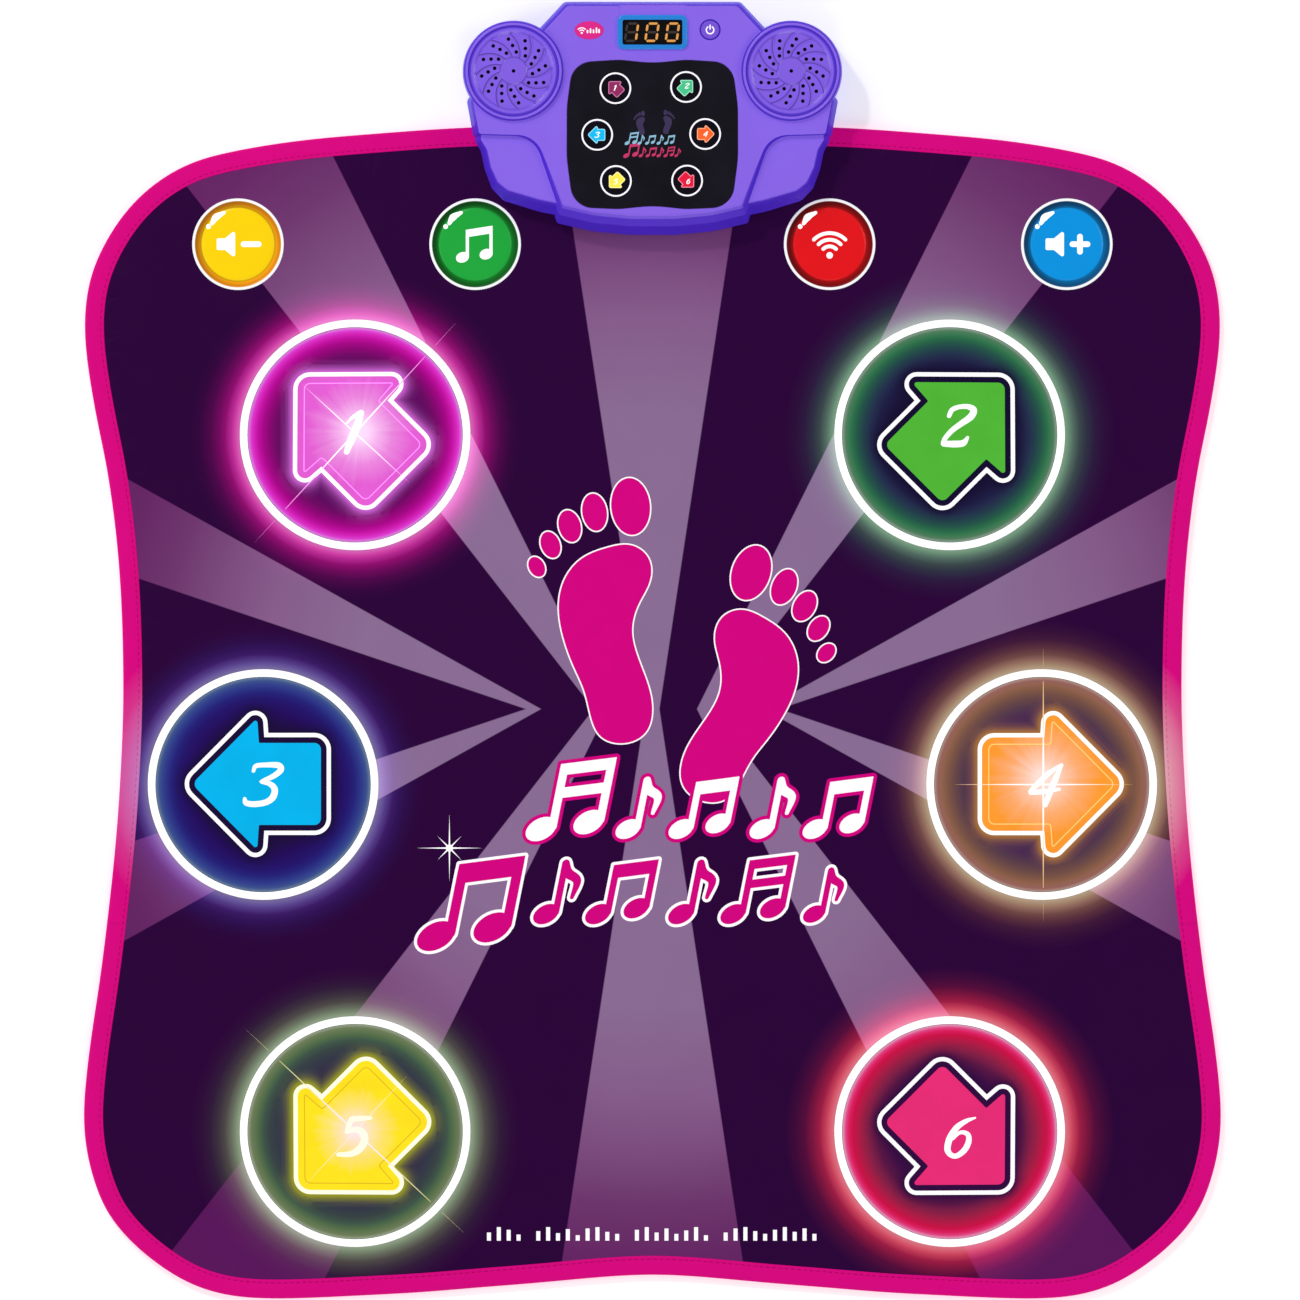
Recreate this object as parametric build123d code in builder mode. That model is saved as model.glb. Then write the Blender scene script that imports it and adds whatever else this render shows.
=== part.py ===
from build123d import *
import math
import os

# Dance mat in three folding panels, with a control console at its +Y end.
# Millimetres. Origin: centre of the footprint, on the floor. +Y points to the console end,
# +Z up. "Front" of the console is its -Y side, over the mat; "rear" is its +Y side.

os.makedirs("parts", exist_ok=True)

# ---------------------------------------------------------------- mat dimensions
FOLD_UPPER_Y = 31.6     # fold line between the upper and the middle panel
FOLD_LOWER_Y = -225.0   # fold line between the middle and the lower panel
FOLD_GAP = 0.25         # half of the cut between two panels
CHANNEL = 17.0          # foam and films stop this far short of a fold, on its -Y side
CLIP_Y = 520.0          # beyond both ends of the mat
CLIP_WIDTH = 1000.0     # wider than the mat

Z_BACKING = 1.0         # tops of the layers, from the floor up
Z_BOTTOM_FILM = 1.3
Z_FOAM = 4.3
Z_TOP_FILM = 4.6
Z_COVER = 5.4
Z_BINDING = 6.0
COVER_INSET = 1.0       # insets of the layers from the mat outline
FOAM_INSET = 1.4
FILM_INSET = 16.0
BINDING_WIDTH = 14.0
BINDING_THICK = 0.6
BINDING_GROOVE = 0.8    # inset of the groove in the binding
TONGUE_GAP = 0.05       # between the backing tongue and the binding's lower flange

RING_OUTER = 84.5       # light ring round each step pad
RING_INNER = 78.9
RING_PROUD = 0.15
PAD_RADIUS = 78.6
BUTTON_RADIUS = 33.55   # round function buttons
BUTTON_CROWN = 0.5
COVER_FIT = 0.2         # play of openings in the cover and the top film
FOAM_FIT = 0.6          # play of openings in the foam

# ---------------------------------------------------------------- console dimensions
Z_SPLIT = 14.0          # parting line of the console shells
Z_DECK = 36.0           # flat deck of the console
Z_WING = 31.5           # lower wings at both front corners
Z_POD = 40.0            # speaker pod rims
WALL = 2.2
CAVITY_DROP = 4.0       # the top shell's cavity starts this far below the parting line
CUT_HEIGHT = 8.0        # height of cuts that run out through the top

POD_X, POD_Y, POD_R = 101.6, 423.8, 37.4
PODS = [(-POD_X, POD_Y), (POD_X, POD_Y)]
GRILLE_R = 32.1

SCREW_WING_X = 100.0    # these two front screws are under the wings
SCREWS_FRONT = [(-SCREW_WING_X, 347.0), (-45.0, 324.0), (45.0, 324.0), (SCREW_WING_X, 347.0)]
SCREWS_REAR = [(-66.0, 459.0), (-68.0, 391.5), (68.0, 391.5), (66.0, 459.0)]
SCREWS = SCREWS_FRONT + SCREWS_REAR
HEAD_R, HEAD_HEIGHT, SHANK_R = 3.0, 1.0, 1.4
HEAD_HOLE_R = HEAD_R + 0.2
SHANK_HOLE_R = SHANK_R + 0.3
MAT_SCREW_HOLE_R = 2.0

RIBBON_SLOT_Y = 340.2
RIBBON_SLOT = (32.0, 2.0)       # x and y size
CLAMP_Y, CLAMP_W, CLAMP_D = 336.0, 222.0, 44.0
CLAMP_GAP = 1.0

# ---------------------------------------------------------------- layout tables
PADS = {                # number: (x, y, panel)
    1: (-217.9, 157.8, "upper"), 2: (217.9, 157.8, "upper"),
    3: (-285.3, -98.5, "middle"), 4: (285.3, -98.5, "middle"),
    5: (-217.9, -352.8, "lower"), 6: (217.9, -352.8, "lower"),
}
BUTTONS = {             # name: (x, y)
    "volume_down_button": (-303.7, 297.5), "mode_button": (-129.9, 297.5),
    "wireless_button": (129.9, 297.5), "volume_up_button": (303.7, 297.5),
}
SPANS = {               # panel: (low y, high y)
    "upper": (FOLD_UPPER_Y + FOLD_GAP, CLIP_Y),
    "middle": (FOLD_LOWER_Y + FOLD_GAP, FOLD_UPPER_Y - FOLD_GAP),
    "lower": (-CLIP_Y, FOLD_LOWER_Y - FOLD_GAP),
}
SHEETS = {              # layer: (bottom z, top z, inset, pad hole r, button hole r, stops at folds)
    "top_cover": (Z_TOP_FILM, Z_COVER, COVER_INSET,
                  RING_OUTER + COVER_FIT, BUTTON_RADIUS + COVER_FIT, False),
    "top_film": (Z_FOAM, Z_TOP_FILM, FILM_INSET,
                 RING_OUTER + COVER_FIT, BUTTON_RADIUS + COVER_FIT, True),
    "spacer_foam": (Z_BOTTOM_FILM, Z_FOAM, FOAM_INSET,
                    PAD_RADIUS + FOAM_FIT, BUTTON_RADIUS + FOAM_FIT, True),
    "bottom_film": (Z_BACKING, Z_BOTTOM_FILM, FILM_INSET, 0, 0, True),
}

# rectangular cuts in the upper panel: (centre y, x size, y size)
CLAMP_POCKET = (CLAMP_Y, CLAMP_W + 2 * CLAMP_GAP, CLAMP_D + 2 * CLAMP_GAP)
RIBBON_TROUGH = (325.0, 32.0, 32.0)
UPPER_CUTS = {          # layer: [(cut, bottom z, height)]
    "spacer_foam": [(CLAMP_POCKET, Z_BOTTOM_FILM - 0.5, 1.6), (RIBBON_TROUGH, 3.7, 1.0)],
    "bottom_film": [(CLAMP_POCKET, Z_BACKING - 0.5, 1.6)],
    "anti_slip_backing": [(CLAMP_POCKET, -0.5, 2.5)],
}

# right half of the mat outline (x, y), from the middle of the top edge to that of the bottom edge
MAT_TOP = (0.0, 384.2)
MAT_BOTTOM = (0.0, -457.8)
MAT_HALF = [
    (67.7, 384.0), (127.8, 383.3), (168.8, 381.1), (209.9, 378.0), (250.9, 374.3), (283.2, 369.9),
    (312.5, 364.4), (334.5, 358.2), (360.9, 344.3), (384.3, 323.0), (399.7, 300.7), (410.7, 275.7),
    (415.5, 249.4), (415.6, 227.4), (412.2, 198.0), (406.3, 165.1), (400.8, 137.9), (395.8, 106.4),
    (392.0, 73.4), (389.4, 36.8), (388.0, -7.2), (388.0, -45.3), (389.7, -87.8), (392.4, -128.9),
    (396.0, -167.0), (400.8, -208.8), (405.6, -245.4), (411.1, -282.1), (415.1, -315.1),
    (416.6, -340.7), (415.1, -362.7), (409.2, -388.4), (400.4, -409.6), (384.3, -430.9),
    (362.3, -449.9), (337.4, -464.6), (312.5, -472.3), (283.2, -475.1), (250.9, -474.7),
    (209.9, -472.8), (168.8, -470.5), (127.8, -467.2), (86.7, -463.9), (45.7, -460.2),
]

# right half of the console outlines at the parting line:
# (x, y, corner radius, shift x, y at the top of the wall, shift x, y at the crown)
DECK_HALF = [
    (64.504, 474.947, 5.0, -1.0, -1.6, -2.6, -3.4),
    (82.829, 455.303, 3.0, -1.4, -1.2, -3.0, -3.0),
    (109.95, 438.444, 8.0, -1.6, -1.6, -3.0, -3.0),
    (126.076, 414.988, 6.0, -2.0, -1.0, -4.0, -2.0),
    (135.9715, 402.527, 4.0, -2.6, -0.5, -4.6, -1.0),
    (131.207, 376.139, 2.0, -2.6, 0.8, -4.6, 1.6),
    (88.3265, 374.8196, 20.0, -1.2, 0.8, -2.8, 1.8),
    (70.0015, 312.7345, 3.0, -1.7, 6.0, -4.6, 14.0),
    (43.98, 306.797, 60.0, 0.0, 6.0, -1.0, 15.0),
    (16.126, 304.158, 60.0, 0.0, 6.0, 0.0, 15.0),
]
WING_HALF = [
    (129.008, 392.265, 0.0, -2.8, 0.0, -4.4, 0.0),
    (129.9609, 373.207, 3.0, -2.8, 0.0, -4.6, 0.3),
    (125.7095, 365.5105, 6.0, -2.8, 0.3, -5.0, 0.6),
    (122.7775, 351.95, 10.0, -2.8, 0.6, -5.0, 1.2),
    (117.6465, 338.023, 7.0, -3.0, 2.5, -5.2, 4.6),
    (109.217, 329.227, 8.0, -2.0, 5.0, -3.6, 8.0),
    (82.8295, 321.164, 40.0, 0.0, 6.0, 0.0, 9.5),
    (63.038, 317.059, 0.0, 0.0, 6.0, 0.0, 9.5),
]
# (z, share of the wall shift, share of the crown shift)
DECK_LEVELS = [(Z_SPLIT, 0.0, 0.0), (30.0, 1.0, 0.0), (34.4, 1.0, 0.60), (35.6, 1.0, 0.84),
               (Z_DECK, 1.0, 1.0)]
WING_LEVELS = [(Z_SPLIT, 0.0, 0.0), (27.6, 1.0, 0.0), (30.4, 1.0, 0.50), (31.2, 1.0, 0.78),
               (Z_WING, 1.0, 1.0)]


# ---------------------------------------------------------------- helpers
def save(builder, name):
    """Label the part of a builder and write its file."""
    builder.part.label = name
    export_step(builder.part, "parts/" + name + ".step")


def plane_at_y(y):
    """Upright plane at y. Its normal is -Y, so a negative extrusion runs towards +Y."""
    return Plane.XZ.offset(-y)


def mat_loop(inset):
    """Closed list of points of the mat outline, moved inward by inset."""
    loop = [MAT_TOP] + MAT_HALF + [MAT_BOTTOM] + [(-x, y) for x, y in reversed(MAT_HALF)]
    moved = []
    for i, (x, y) in enumerate(loop):
        before, after = loop[i - 1], loop[(i + 1) % len(loop)]
        along_x, along_y = after[0] - before[0], after[1] - before[1]
        length = math.hypot(along_x, along_y)
        moved.append((x + along_y / length * inset, y - along_x / length * inset))
    return moved


def console_loop(half, wall, crown, thin):
    """Mirrored console outline as (x, y, radius), with its shifts and moved inward by thin."""
    right = [
        (x + wall * wall_x + crown * (crown_x - wall_x),
         y + wall * wall_y + crown * (crown_y - wall_y), radius)
        for x, y, radius, wall_x, wall_y, crown_x, crown_y in half
    ]
    loop = right + [(-x, y, radius) for x, y, radius in reversed(right)]
    if thin == 0:
        return loop
    moved = []
    for i, (x, y, radius) in enumerate(loop):
        before, after = loop[i - 1], loop[(i + 1) % len(loop)]
        in_x, in_y = x - before[0], y - before[1]
        out_x, out_y = after[0] - x, after[1] - y
        in_length, out_length = math.hypot(in_x, in_y), math.hypot(out_x, out_y)
        normal_in = (in_y / in_length, -in_x / in_length)
        normal_out = (out_y / out_length, -out_x / out_length)
        scale = thin / (1 + normal_in[0] * normal_out[0] + normal_in[1] * normal_out[1])
        turn = in_x * out_y - in_y * out_x
        if radius > 0:
            radius = max(radius - thin, 0.8) if turn < 0 else radius + thin
        moved.append((x + (normal_in[0] + normal_out[0]) * scale,
                      y + (normal_in[1] + normal_out[1]) * scale, radius))
    return moved


def rounded_loop(loop):
    """Lines and corner arcs through a closed polygon given as (x, y, corner radius)."""
    count = len(loop)
    corners = []        # (arc start, arc middle or None, arc end)
    for i, (x, y, wanted) in enumerate(loop):
        if wanted == 0:
            corners.append(((x, y), None, (x, y)))
            continue
        before, after = loop[i - 1], loop[(i + 1) % count]
        back_x, back_y = before[0] - x, before[1] - y
        next_x, next_y = after[0] - x, after[1] - y
        back, ahead = math.hypot(back_x, back_y), math.hypot(next_x, next_y)
        back_x, back_y = back_x / back, back_y / back
        next_x, next_y = next_x / ahead, next_y / ahead
        angle = math.acos(max(-1.0, min(1.0, back_x * next_x + back_y * next_y)))
        # an arc takes at most 42 % of either side
        reach = min(wanted / math.tan(angle / 2), 0.42 * back, 0.42 * ahead)
        radius = reach * math.tan(angle / 2)
        mid_x, mid_y = back_x + next_x, back_y + next_y
        length = math.hypot(mid_x, mid_y)
        far = radius / math.sin(angle / 2) - radius
        corners.append(((x + back_x * reach, y + back_y * reach),
                        (x + mid_x / length * far, y + mid_y / length * far),
                        (x + next_x * reach, y + next_y * reach)))
    for i, (start, middle, end) in enumerate(corners):
        if middle is not None:
            ThreePointArc(start, middle, end)
        Line(end, corners[(i + 1) % count][0])


def clip_rows(low, high):
    """Keep only the rows from low to high of the sketch being built."""
    with Locations((0, (low + high) / 2)):
        Rectangle(CLIP_WIDTH, high - low, mode=Mode.INTERSECT)


# ---------------------------------------------------------------- mat layers
def mat_sheet(panel, bottom, top, inset, pad_hole, button_hole, stops_at_folds):
    """One flat sheet of one panel, with its pad and button openings."""
    low, high = SPANS[panel]
    if stops_at_folds and panel != "upper":
        high -= CHANNEL
    with BuildPart() as sheet:
        with BuildSketch(Plane.XY.offset(bottom)):
            with BuildLine():
                Spline(*mat_loop(inset), periodic=True)
            make_face()
            clip_rows(low, high)
            if pad_hole:
                with Locations(*[(x, y) for x, y, home in PADS.values() if home == panel]):
                    Circle(pad_hole, mode=Mode.SUBTRACT)
            if button_hole and panel == "upper":
                with Locations(*BUTTONS.values()):
                    Circle(button_hole, mode=Mode.SUBTRACT)
        extrude(amount=top - bottom)
        if panel == "upper":
            # holes for the four clamp screws and the slot for the ribbon cable
            with BuildSketch(Plane.XY.offset(bottom)):
                with Locations(*SCREWS_FRONT):
                    Circle(MAT_SCREW_HOLE_R)
                with Locations((0, RIBBON_SLOT_Y)):
                    Rectangle(*RIBBON_SLOT)
            extrude(amount=top - bottom, mode=Mode.SUBTRACT)
    return sheet


def backing_sheet(panel):
    """Anti-slip backing: full thickness inside the binding, a thin tongue between its flanges."""
    tongue_z = BINDING_THICK + TONGUE_GAP
    with BuildPart() as backing:
        with BuildSketch():
            with BuildLine():
                Spline(*mat_loop(BINDING_WIDTH + 0.3), periodic=True)
            make_face()
            clip_rows(*SPANS[panel])
        extrude(amount=Z_BACKING)
        with BuildSketch(Plane.XY.offset(tongue_z)):
            with BuildLine():
                Spline(*mat_loop(COVER_INSET), periodic=True)
            make_face()
            clip_rows(*SPANS[panel])
        extrude(amount=Z_BACKING - tongue_z)
    return backing


def cut_box(sheet, centre_y, width, depth, bottom, height):
    """The sheet with a rectangular cut, centred on x = 0."""
    with BuildPart() as result:
        add(sheet.part)
        with BuildSketch(Plane.XY.offset(bottom)):
            with Locations((0, centre_y)):
                Rectangle(width, depth)
        extrude(amount=height, mode=Mode.SUBTRACT)
    return result


def save_layer(sheet, layer, panel):
    """Write a layer, after the extra cuts that the upper panel has."""
    if panel == "upper":
        for cut, bottom, height in UPPER_CUTS.get(layer, []):
            sheet = cut_box(sheet, *cut, bottom, height)
    save(sheet, layer + "_" + panel)


def edge_binding(panel):
    """Sewn binding tape, a C section folded round the edge of the stack."""
    with BuildPart() as binding:
        with BuildSketch():
            with BuildLine():
                Spline(*mat_loop(0.0), periodic=True)
            make_face()
            with BuildLine():
                Spline(*mat_loop(BINDING_WIDTH), periodic=True)
            make_face(mode=Mode.SUBTRACT)
            clip_rows(*SPANS[panel])
        extrude(amount=Z_BINDING)
        with BuildSketch(Plane.XY.offset(BINDING_THICK)):
            with BuildLine():
                Spline(*mat_loop(BINDING_GROOVE), periodic=True)
            make_face()
            with BuildLine():
                Spline(*mat_loop(BINDING_WIDTH + 2), periodic=True)
            make_face(mode=Mode.SUBTRACT)
        extrude(amount=Z_BINDING - 2 * BINDING_THICK, mode=Mode.SUBTRACT)
    save(binding, "edge_binding_" + panel)


def ring_lights(panel):
    """The two light rings of one panel."""
    spots = [(x, y) for x, y, home in PADS.values() if home == panel]
    with BuildPart() as rings:
        with BuildSketch(Plane.XY.offset(Z_FOAM)):
            with Locations(*spots):
                Circle(RING_OUTER)
            with Locations(*spots):
                Circle(RING_INNER, mode=Mode.SUBTRACT)
        extrude(amount=Z_COVER + RING_PROUD - Z_FOAM)
        chamfer(rings.edges().filter_by(GeomType.CIRCLE).group_by(Axis.Z)[-1], 0.25)
    save(rings, "ring_lights_" + panel)


def disc(name, x, y, radius, top, bevel):
    """Round pad or button standing on the foam level, with a bevelled top edge."""
    with BuildPart() as made:
        with BuildSketch(Plane.XY.offset(Z_FOAM)):
            with Locations((x, y)):
                Circle(radius)
        extrude(amount=top - Z_FOAM)
        chamfer(made.edges().group_by(Axis.Z)[-1], bevel)
    save(made, name)


for panel in SPANS:
    for layer, sizes in SHEETS.items():
        save_layer(mat_sheet(panel, *sizes), layer, panel)
    save_layer(backing_sheet(panel), "anti_slip_backing", panel)
    edge_binding(panel)
    ring_lights(panel)

for number, (x, y, _) in PADS.items():
    disc("pad_%d" % number, x, y, PAD_RADIUS, top=Z_COVER, bevel=0.2)
for name, (x, y) in BUTTONS.items():
    disc(name, x, y, BUTTON_RADIUS, top=Z_COVER + BUTTON_CROWN, bevel=0.4)


# ---------------------------------------------------------------- console shapes
def block(half, levels, thin):
    """Console block: one rounded outline per level, joined by ruled walls."""
    with BuildPart() as made:
        for z, wall, crown in levels:
            with BuildSketch(Plane.XY.offset(z)):
                with BuildLine():
                    rounded_loop(console_loop(half, wall, crown, thin))
                make_face()
        loft(ruled=True)
    return made.part


def cavity_levels(levels):
    """Levels of the hollow: a wall thickness lower, but starting below the parting line."""
    return [(z - WALL if z > Z_SPLIT else Z_SPLIT - CAVITY_DROP, wall, crown)
            for z, wall, crown in levels]


def footprint(thin):
    """The console's flat outline at the parting line, moved inward by thin."""
    with BuildSketch() as plan:
        with BuildLine():
            rounded_loop(console_loop(DECK_HALF, 0, 0, thin))
        make_face()
        with BuildLine():
            rounded_loop(console_loop(WING_HALF, 0, 0, thin))
        make_face()
        with Locations(*PODS):
            Circle(POD_R - thin)
    return plan.sketch


def pod_plane(side):
    """Upright plane through a speaker axis: local x is the radius, local y is the height."""
    return Plane(origin=(side * POD_X, POD_Y, 0), x_dir=(1, 0, 0), z_dir=(0, -1, 0))


def pod_axis(side):
    return Axis((side * POD_X, POD_Y, 0), (0, 0, 1))


DISPLAY_Y = 452.2
POWER_X, POWER_Y, POWER_R = 42.2, 454.0, 6.9
INDICATORS = [(-27.1, 411.2), (24.6, 412.1), (-40.4, 377.1), (38.6, 377.7), (-26.7, 343.3),
              (25.4, 343.6)]
LENS_R = 9.9
Z_LENS = 33.0           # underside of the indicator lenses and the power button

# pillow-shaped control overlay: (x, y, corner radius), top middle, then down the right half
OVERLAY_TOP = (0.0, 429.4, 120.0)
OVERLAY_HALF = [
    (24.0, 432.0, 60.0), (58.2, 429.8, 20.0), (62.5, 398.0, 90.0), (62.6, 360.0, 90.0),
    (57.9, 324.2, 20.0), (24.0, 322.8, 60.0), (0.0, 325.4, 120.0),
]
OVERLAY_MID_Y = 378.0
OVERLAY_DEPTH = 0.8     # recess of the overlay in the deck


def overlay_loop(inset):
    """Closed overlay outline, moved inward by inset."""
    half = [(x - inset if x > 0 else x, y + (-inset if y > OVERLAY_MID_Y else inset), radius)
            for x, y, radius in OVERLAY_HALF]
    top = (0.0, OVERLAY_TOP[1] - inset, OVERLAY_TOP[2])
    return [top] + half + [(-x, y, radius) for x, y, radius in reversed(half[:-1])]


# ---------------------------------------------------------------- console top shell
POD_PROFILE = [         # pod tower with a raised, rounded rim: (radius, z)
    (0, Z_SPLIT), (POD_R, Z_SPLIT), (POD_R - 0.9, 37.6), (POD_R - 1.3, 39.0),
    (POD_R - 2.2, 39.8), (POD_R - 3.0, Z_POD), (POD_R - 3.9, 39.8), (POD_R - 4.6, 38.9),
    (POD_R - 4.8, 35.0), (0, 35.0),
]
POD_CAVITY_R = POD_R - WALL - 1.2
Z_LEDGE, Z_LEDGE_TOP = 34.4, 35.6       # ledge that carries the grille
LEDGE_OPENING_R = 27.5
NOTCH_WIDTH = 49.0
NOTCH_PROFILE = [       # (y, z)
    (465.4, Z_DECK + 1), (465.4, Z_DECK - 0.02), (477.0, Z_DECK - 2.0), (477.0, Z_DECK + 1),
]
BOSS_R, PILOT_R, PILOT_HEIGHT = 3.6, 1.5, 14.0
Z_BOSS = Z_SPLIT + 0.4

deck_outer = block(DECK_HALF, DECK_LEVELS, 0)
wing_outer = block(WING_HALF, WING_LEVELS, 0)
deck_inner = block(DECK_HALF, cavity_levels(DECK_LEVELS), WALL)
wing_inner = block(WING_HALF, cavity_levels(WING_LEVELS), WALL)

with BuildPart() as top_shell:
    add(deck_outer)
    add(wing_outer)
    for side in (-1, 1):
        with BuildSketch(pod_plane(side)):
            with BuildLine():
                Polyline(*POD_PROFILE, close=True)
            make_face()
        revolve(axis=pod_axis(side))
    add(deck_inner, mode=Mode.SUBTRACT)
    add(wing_inner, mode=Mode.SUBTRACT)
    # pod cavities up to the ledge, then the opening and the seat of the grille
    with BuildSketch(Plane.XY.offset(Z_SPLIT - 1)):
        with Locations(*PODS):
            Circle(POD_CAVITY_R)
    extrude(amount=Z_LEDGE - Z_SPLIT + 1, mode=Mode.SUBTRACT)
    with BuildSketch(Plane.XY.offset(Z_LEDGE - 0.4)):
        with Locations(*PODS):
            Circle(LEDGE_OPENING_R)
    extrude(amount=CUT_HEIGHT, mode=Mode.SUBTRACT)
    with BuildSketch(Plane.XY.offset(Z_LEDGE_TOP)):
        with Locations(*PODS):
            Circle(GRILLE_R + 0.25)
    extrude(amount=CUT_HEIGHT, mode=Mode.SUBTRACT)
    # shallow recess for the control overlay
    with BuildSketch(Plane.XY.offset(Z_DECK - OVERLAY_DEPTH)):
        with BuildLine():
            rounded_loop(overlay_loop(-0.25))
        make_face()
    extrude(amount=3, mode=Mode.SUBTRACT)
    # windows for the indicators, the display and the power button
    with BuildSketch(Plane.XY.offset(30)):
        with Locations(*INDICATORS):
            Circle(LENS_R + 0.3)
        with Locations((0, DISPLAY_Y)):
            RectangleRounded(47.0, 21.5, 3.0)
        with Locations((POWER_X, POWER_Y)):
            Circle(POWER_R + 0.2)
    extrude(amount=CUT_HEIGHT, mode=Mode.SUBTRACT)
    # sloped notch behind the display
    with BuildSketch(Plane.YZ.offset(-NOTCH_WIDTH / 2)):
        with BuildLine():
            Polyline(*NOTCH_PROFILE, close=True)
        make_face()
    extrude(amount=NOTCH_WIDTH, mode=Mode.SUBTRACT)
    # screw bosses, hung from the ceiling
    for x, y in SCREWS:
        ceiling = (Z_WING if abs(x) == SCREW_WING_X else Z_DECK) - WALL / 2
        with BuildSketch(Plane.XY.offset(Z_BOSS)):
            with Locations((x, y)):
                Circle(BOSS_R)
        extrude(amount=ceiling - Z_BOSS)
    with BuildSketch(Plane.XY.offset(Z_SPLIT - 1)):
        with Locations(*SCREWS):
            Circle(PILOT_R)
    extrude(amount=PILOT_HEIGHT, mode=Mode.SUBTRACT)
save(top_shell, "console_top_shell")

# ---------------------------------------------------------------- console base shell
Z_FRONT_FLOOR = 6.05    # over the mat
Z_REAR_FLOOR = 2.0      # behind the mat
BASE_STEP_Y = 386.2     # the console overhangs the mat's top edge behind this line
BASE_INSET = 0.35       # inset of the base from the parting outline
REAR_CLIP = 1200.0      # square that covers everything behind the step
BAY_X, BAY_Y0, BAY_Y1, BAY_TOP = 31.0, 399.0, 461.0, 20.2
BAY_MID_Y = (BAY_Y0 + BAY_Y1) / 2
BAY_DEPTH = BAY_Y1 - BAY_Y0
BAY_WALL = 1.6
FRONT_POST_R, REAR_POST_R = 4.2, 4.8
JACK_X, PORT_X, SOCKET_Z = 48.0, -48.0, 8.6

with BuildPart() as base_shell:
    with BuildSketch(Plane.XY.offset(Z_REAR_FLOOR)):
        add(footprint(BASE_INSET))
        with Locations((0, REAR_CLIP / 2 + BASE_STEP_Y)):
            Rectangle(REAR_CLIP, REAR_CLIP, mode=Mode.INTERSECT)
    extrude(amount=Z_SPLIT - Z_REAR_FLOOR)
    with BuildSketch(Plane.XY.offset(Z_FRONT_FLOOR)):
        add(footprint(BASE_INSET))
    extrude(amount=Z_SPLIT - Z_FRONT_FLOOR)
    # hollow, with a step where the floor rises onto the mat
    with BuildSketch(Plane.XY.offset(Z_FRONT_FLOOR + WALL)):
        add(footprint(BASE_INSET + WALL))
    extrude(amount=Z_SPLIT, mode=Mode.SUBTRACT)
    with BuildSketch(Plane.XY.offset(Z_REAR_FLOOR + WALL)):
        add(footprint(BASE_INSET + WALL))
        with Locations((0, REAR_CLIP / 2 + BASE_STEP_Y + WALL)):
            Rectangle(REAR_CLIP, REAR_CLIP, mode=Mode.INTERSECT)
    extrude(amount=Z_SPLIT, mode=Mode.SUBTRACT)
    # battery bay, open at the bottom
    with BuildSketch(Plane.XY.offset(Z_REAR_FLOOR)):
        with Locations((0, BAY_MID_Y)):
            Rectangle(2 * (BAY_X + BAY_WALL), BAY_DEPTH + 2 * BAY_WALL)
    extrude(amount=BAY_TOP - Z_REAR_FLOOR)
    with BuildSketch(Plane.XY.offset(Z_REAR_FLOOR - 1)):
        with Locations((0, BAY_MID_Y)):
            Rectangle(2 * BAY_X, BAY_DEPTH)
    extrude(amount=BAY_TOP - BAY_WALL - Z_REAR_FLOOR + 1, mode=Mode.SUBTRACT)
    # screw posts, their holes and the rear head recesses
    with BuildSketch(Plane.XY.offset(Z_FRONT_FLOOR)):
        with Locations(*SCREWS_FRONT):
            Circle(FRONT_POST_R)
    extrude(amount=Z_SPLIT - Z_FRONT_FLOOR)
    with BuildSketch(Plane.XY.offset(Z_REAR_FLOOR)):
        with Locations(*SCREWS_REAR):
            Circle(REAR_POST_R)
    extrude(amount=Z_SPLIT - Z_REAR_FLOOR)
    with BuildSketch(Plane.XY):
        with Locations(*SCREWS):
            Circle(SHANK_HOLE_R)
    extrude(amount=20, mode=Mode.SUBTRACT)
    with BuildSketch(Plane.XY):
        with Locations(*SCREWS_REAR):
            Circle(HEAD_HOLE_R)
    extrude(amount=5.0, mode=Mode.SUBTRACT)
    # ribbon slot, then audio jack hole and power port opening through the rear wall
    with BuildSketch(Plane.XY):
        with Locations((0, RIBBON_SLOT_Y)):
            Rectangle(*RIBBON_SLOT)
    extrude(amount=12, mode=Mode.SUBTRACT)
    with BuildSketch(plane_at_y(460)):
        with Locations((JACK_X, SOCKET_Z)):
            Circle(3.9)
        with Locations((PORT_X, SOCKET_Z)):
            RectangleRounded(10.2, 4.6, 1.2)
    extrude(amount=-30, mode=Mode.SUBTRACT)
save(base_shell, "console_base_shell")

# ---------------------------------------------------------------- speakers
# revolved profiles: (radius, z)
GRILLE_PROFILE = [
    (0, 35.7), (GRILLE_R, 35.7), (GRILLE_R, 37.4), (GRILLE_R - 1.0, 38.2),
    (GRILLE_R - 2.6, 38.2), (GRILLE_R - 4.4, 37.2), (10.4, 37.9), (9.4, 38.5), (2.6, 38.8),
    (0, 38.8),
]
DRIVER_PROFILE = [
    (0, 15.0), (14.0, 15.0), (14.0, 21.0), (15.5, 21.6), (27.0, 31.2), (29.6, 31.2),
    (29.6, 33.9), (27.2, 33.9), (27.2, 32.6), (25.6, 31.8), (14.0, 22.4), (9.4, 22.4),
    (9.4, 17.0), (8.0, 17.0), (8.0, 22.0), (0, 22.0),
]
CONE_PROFILE = [
    (0, 27.2), (4.6, 26.3), (8.3, 24.4), (8.3, 18.6), (8.9, 18.6), (8.9, 24.0), (22.0, 32.6),
    (24.4, 33.6), (26.6, 32.9), (26.6, 33.6), (24.4, 34.3), (21.6, 33.3), (8.7, 25.0),
    (4.9, 27.1), (0, 28.1),
]
VANES = 12
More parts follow.
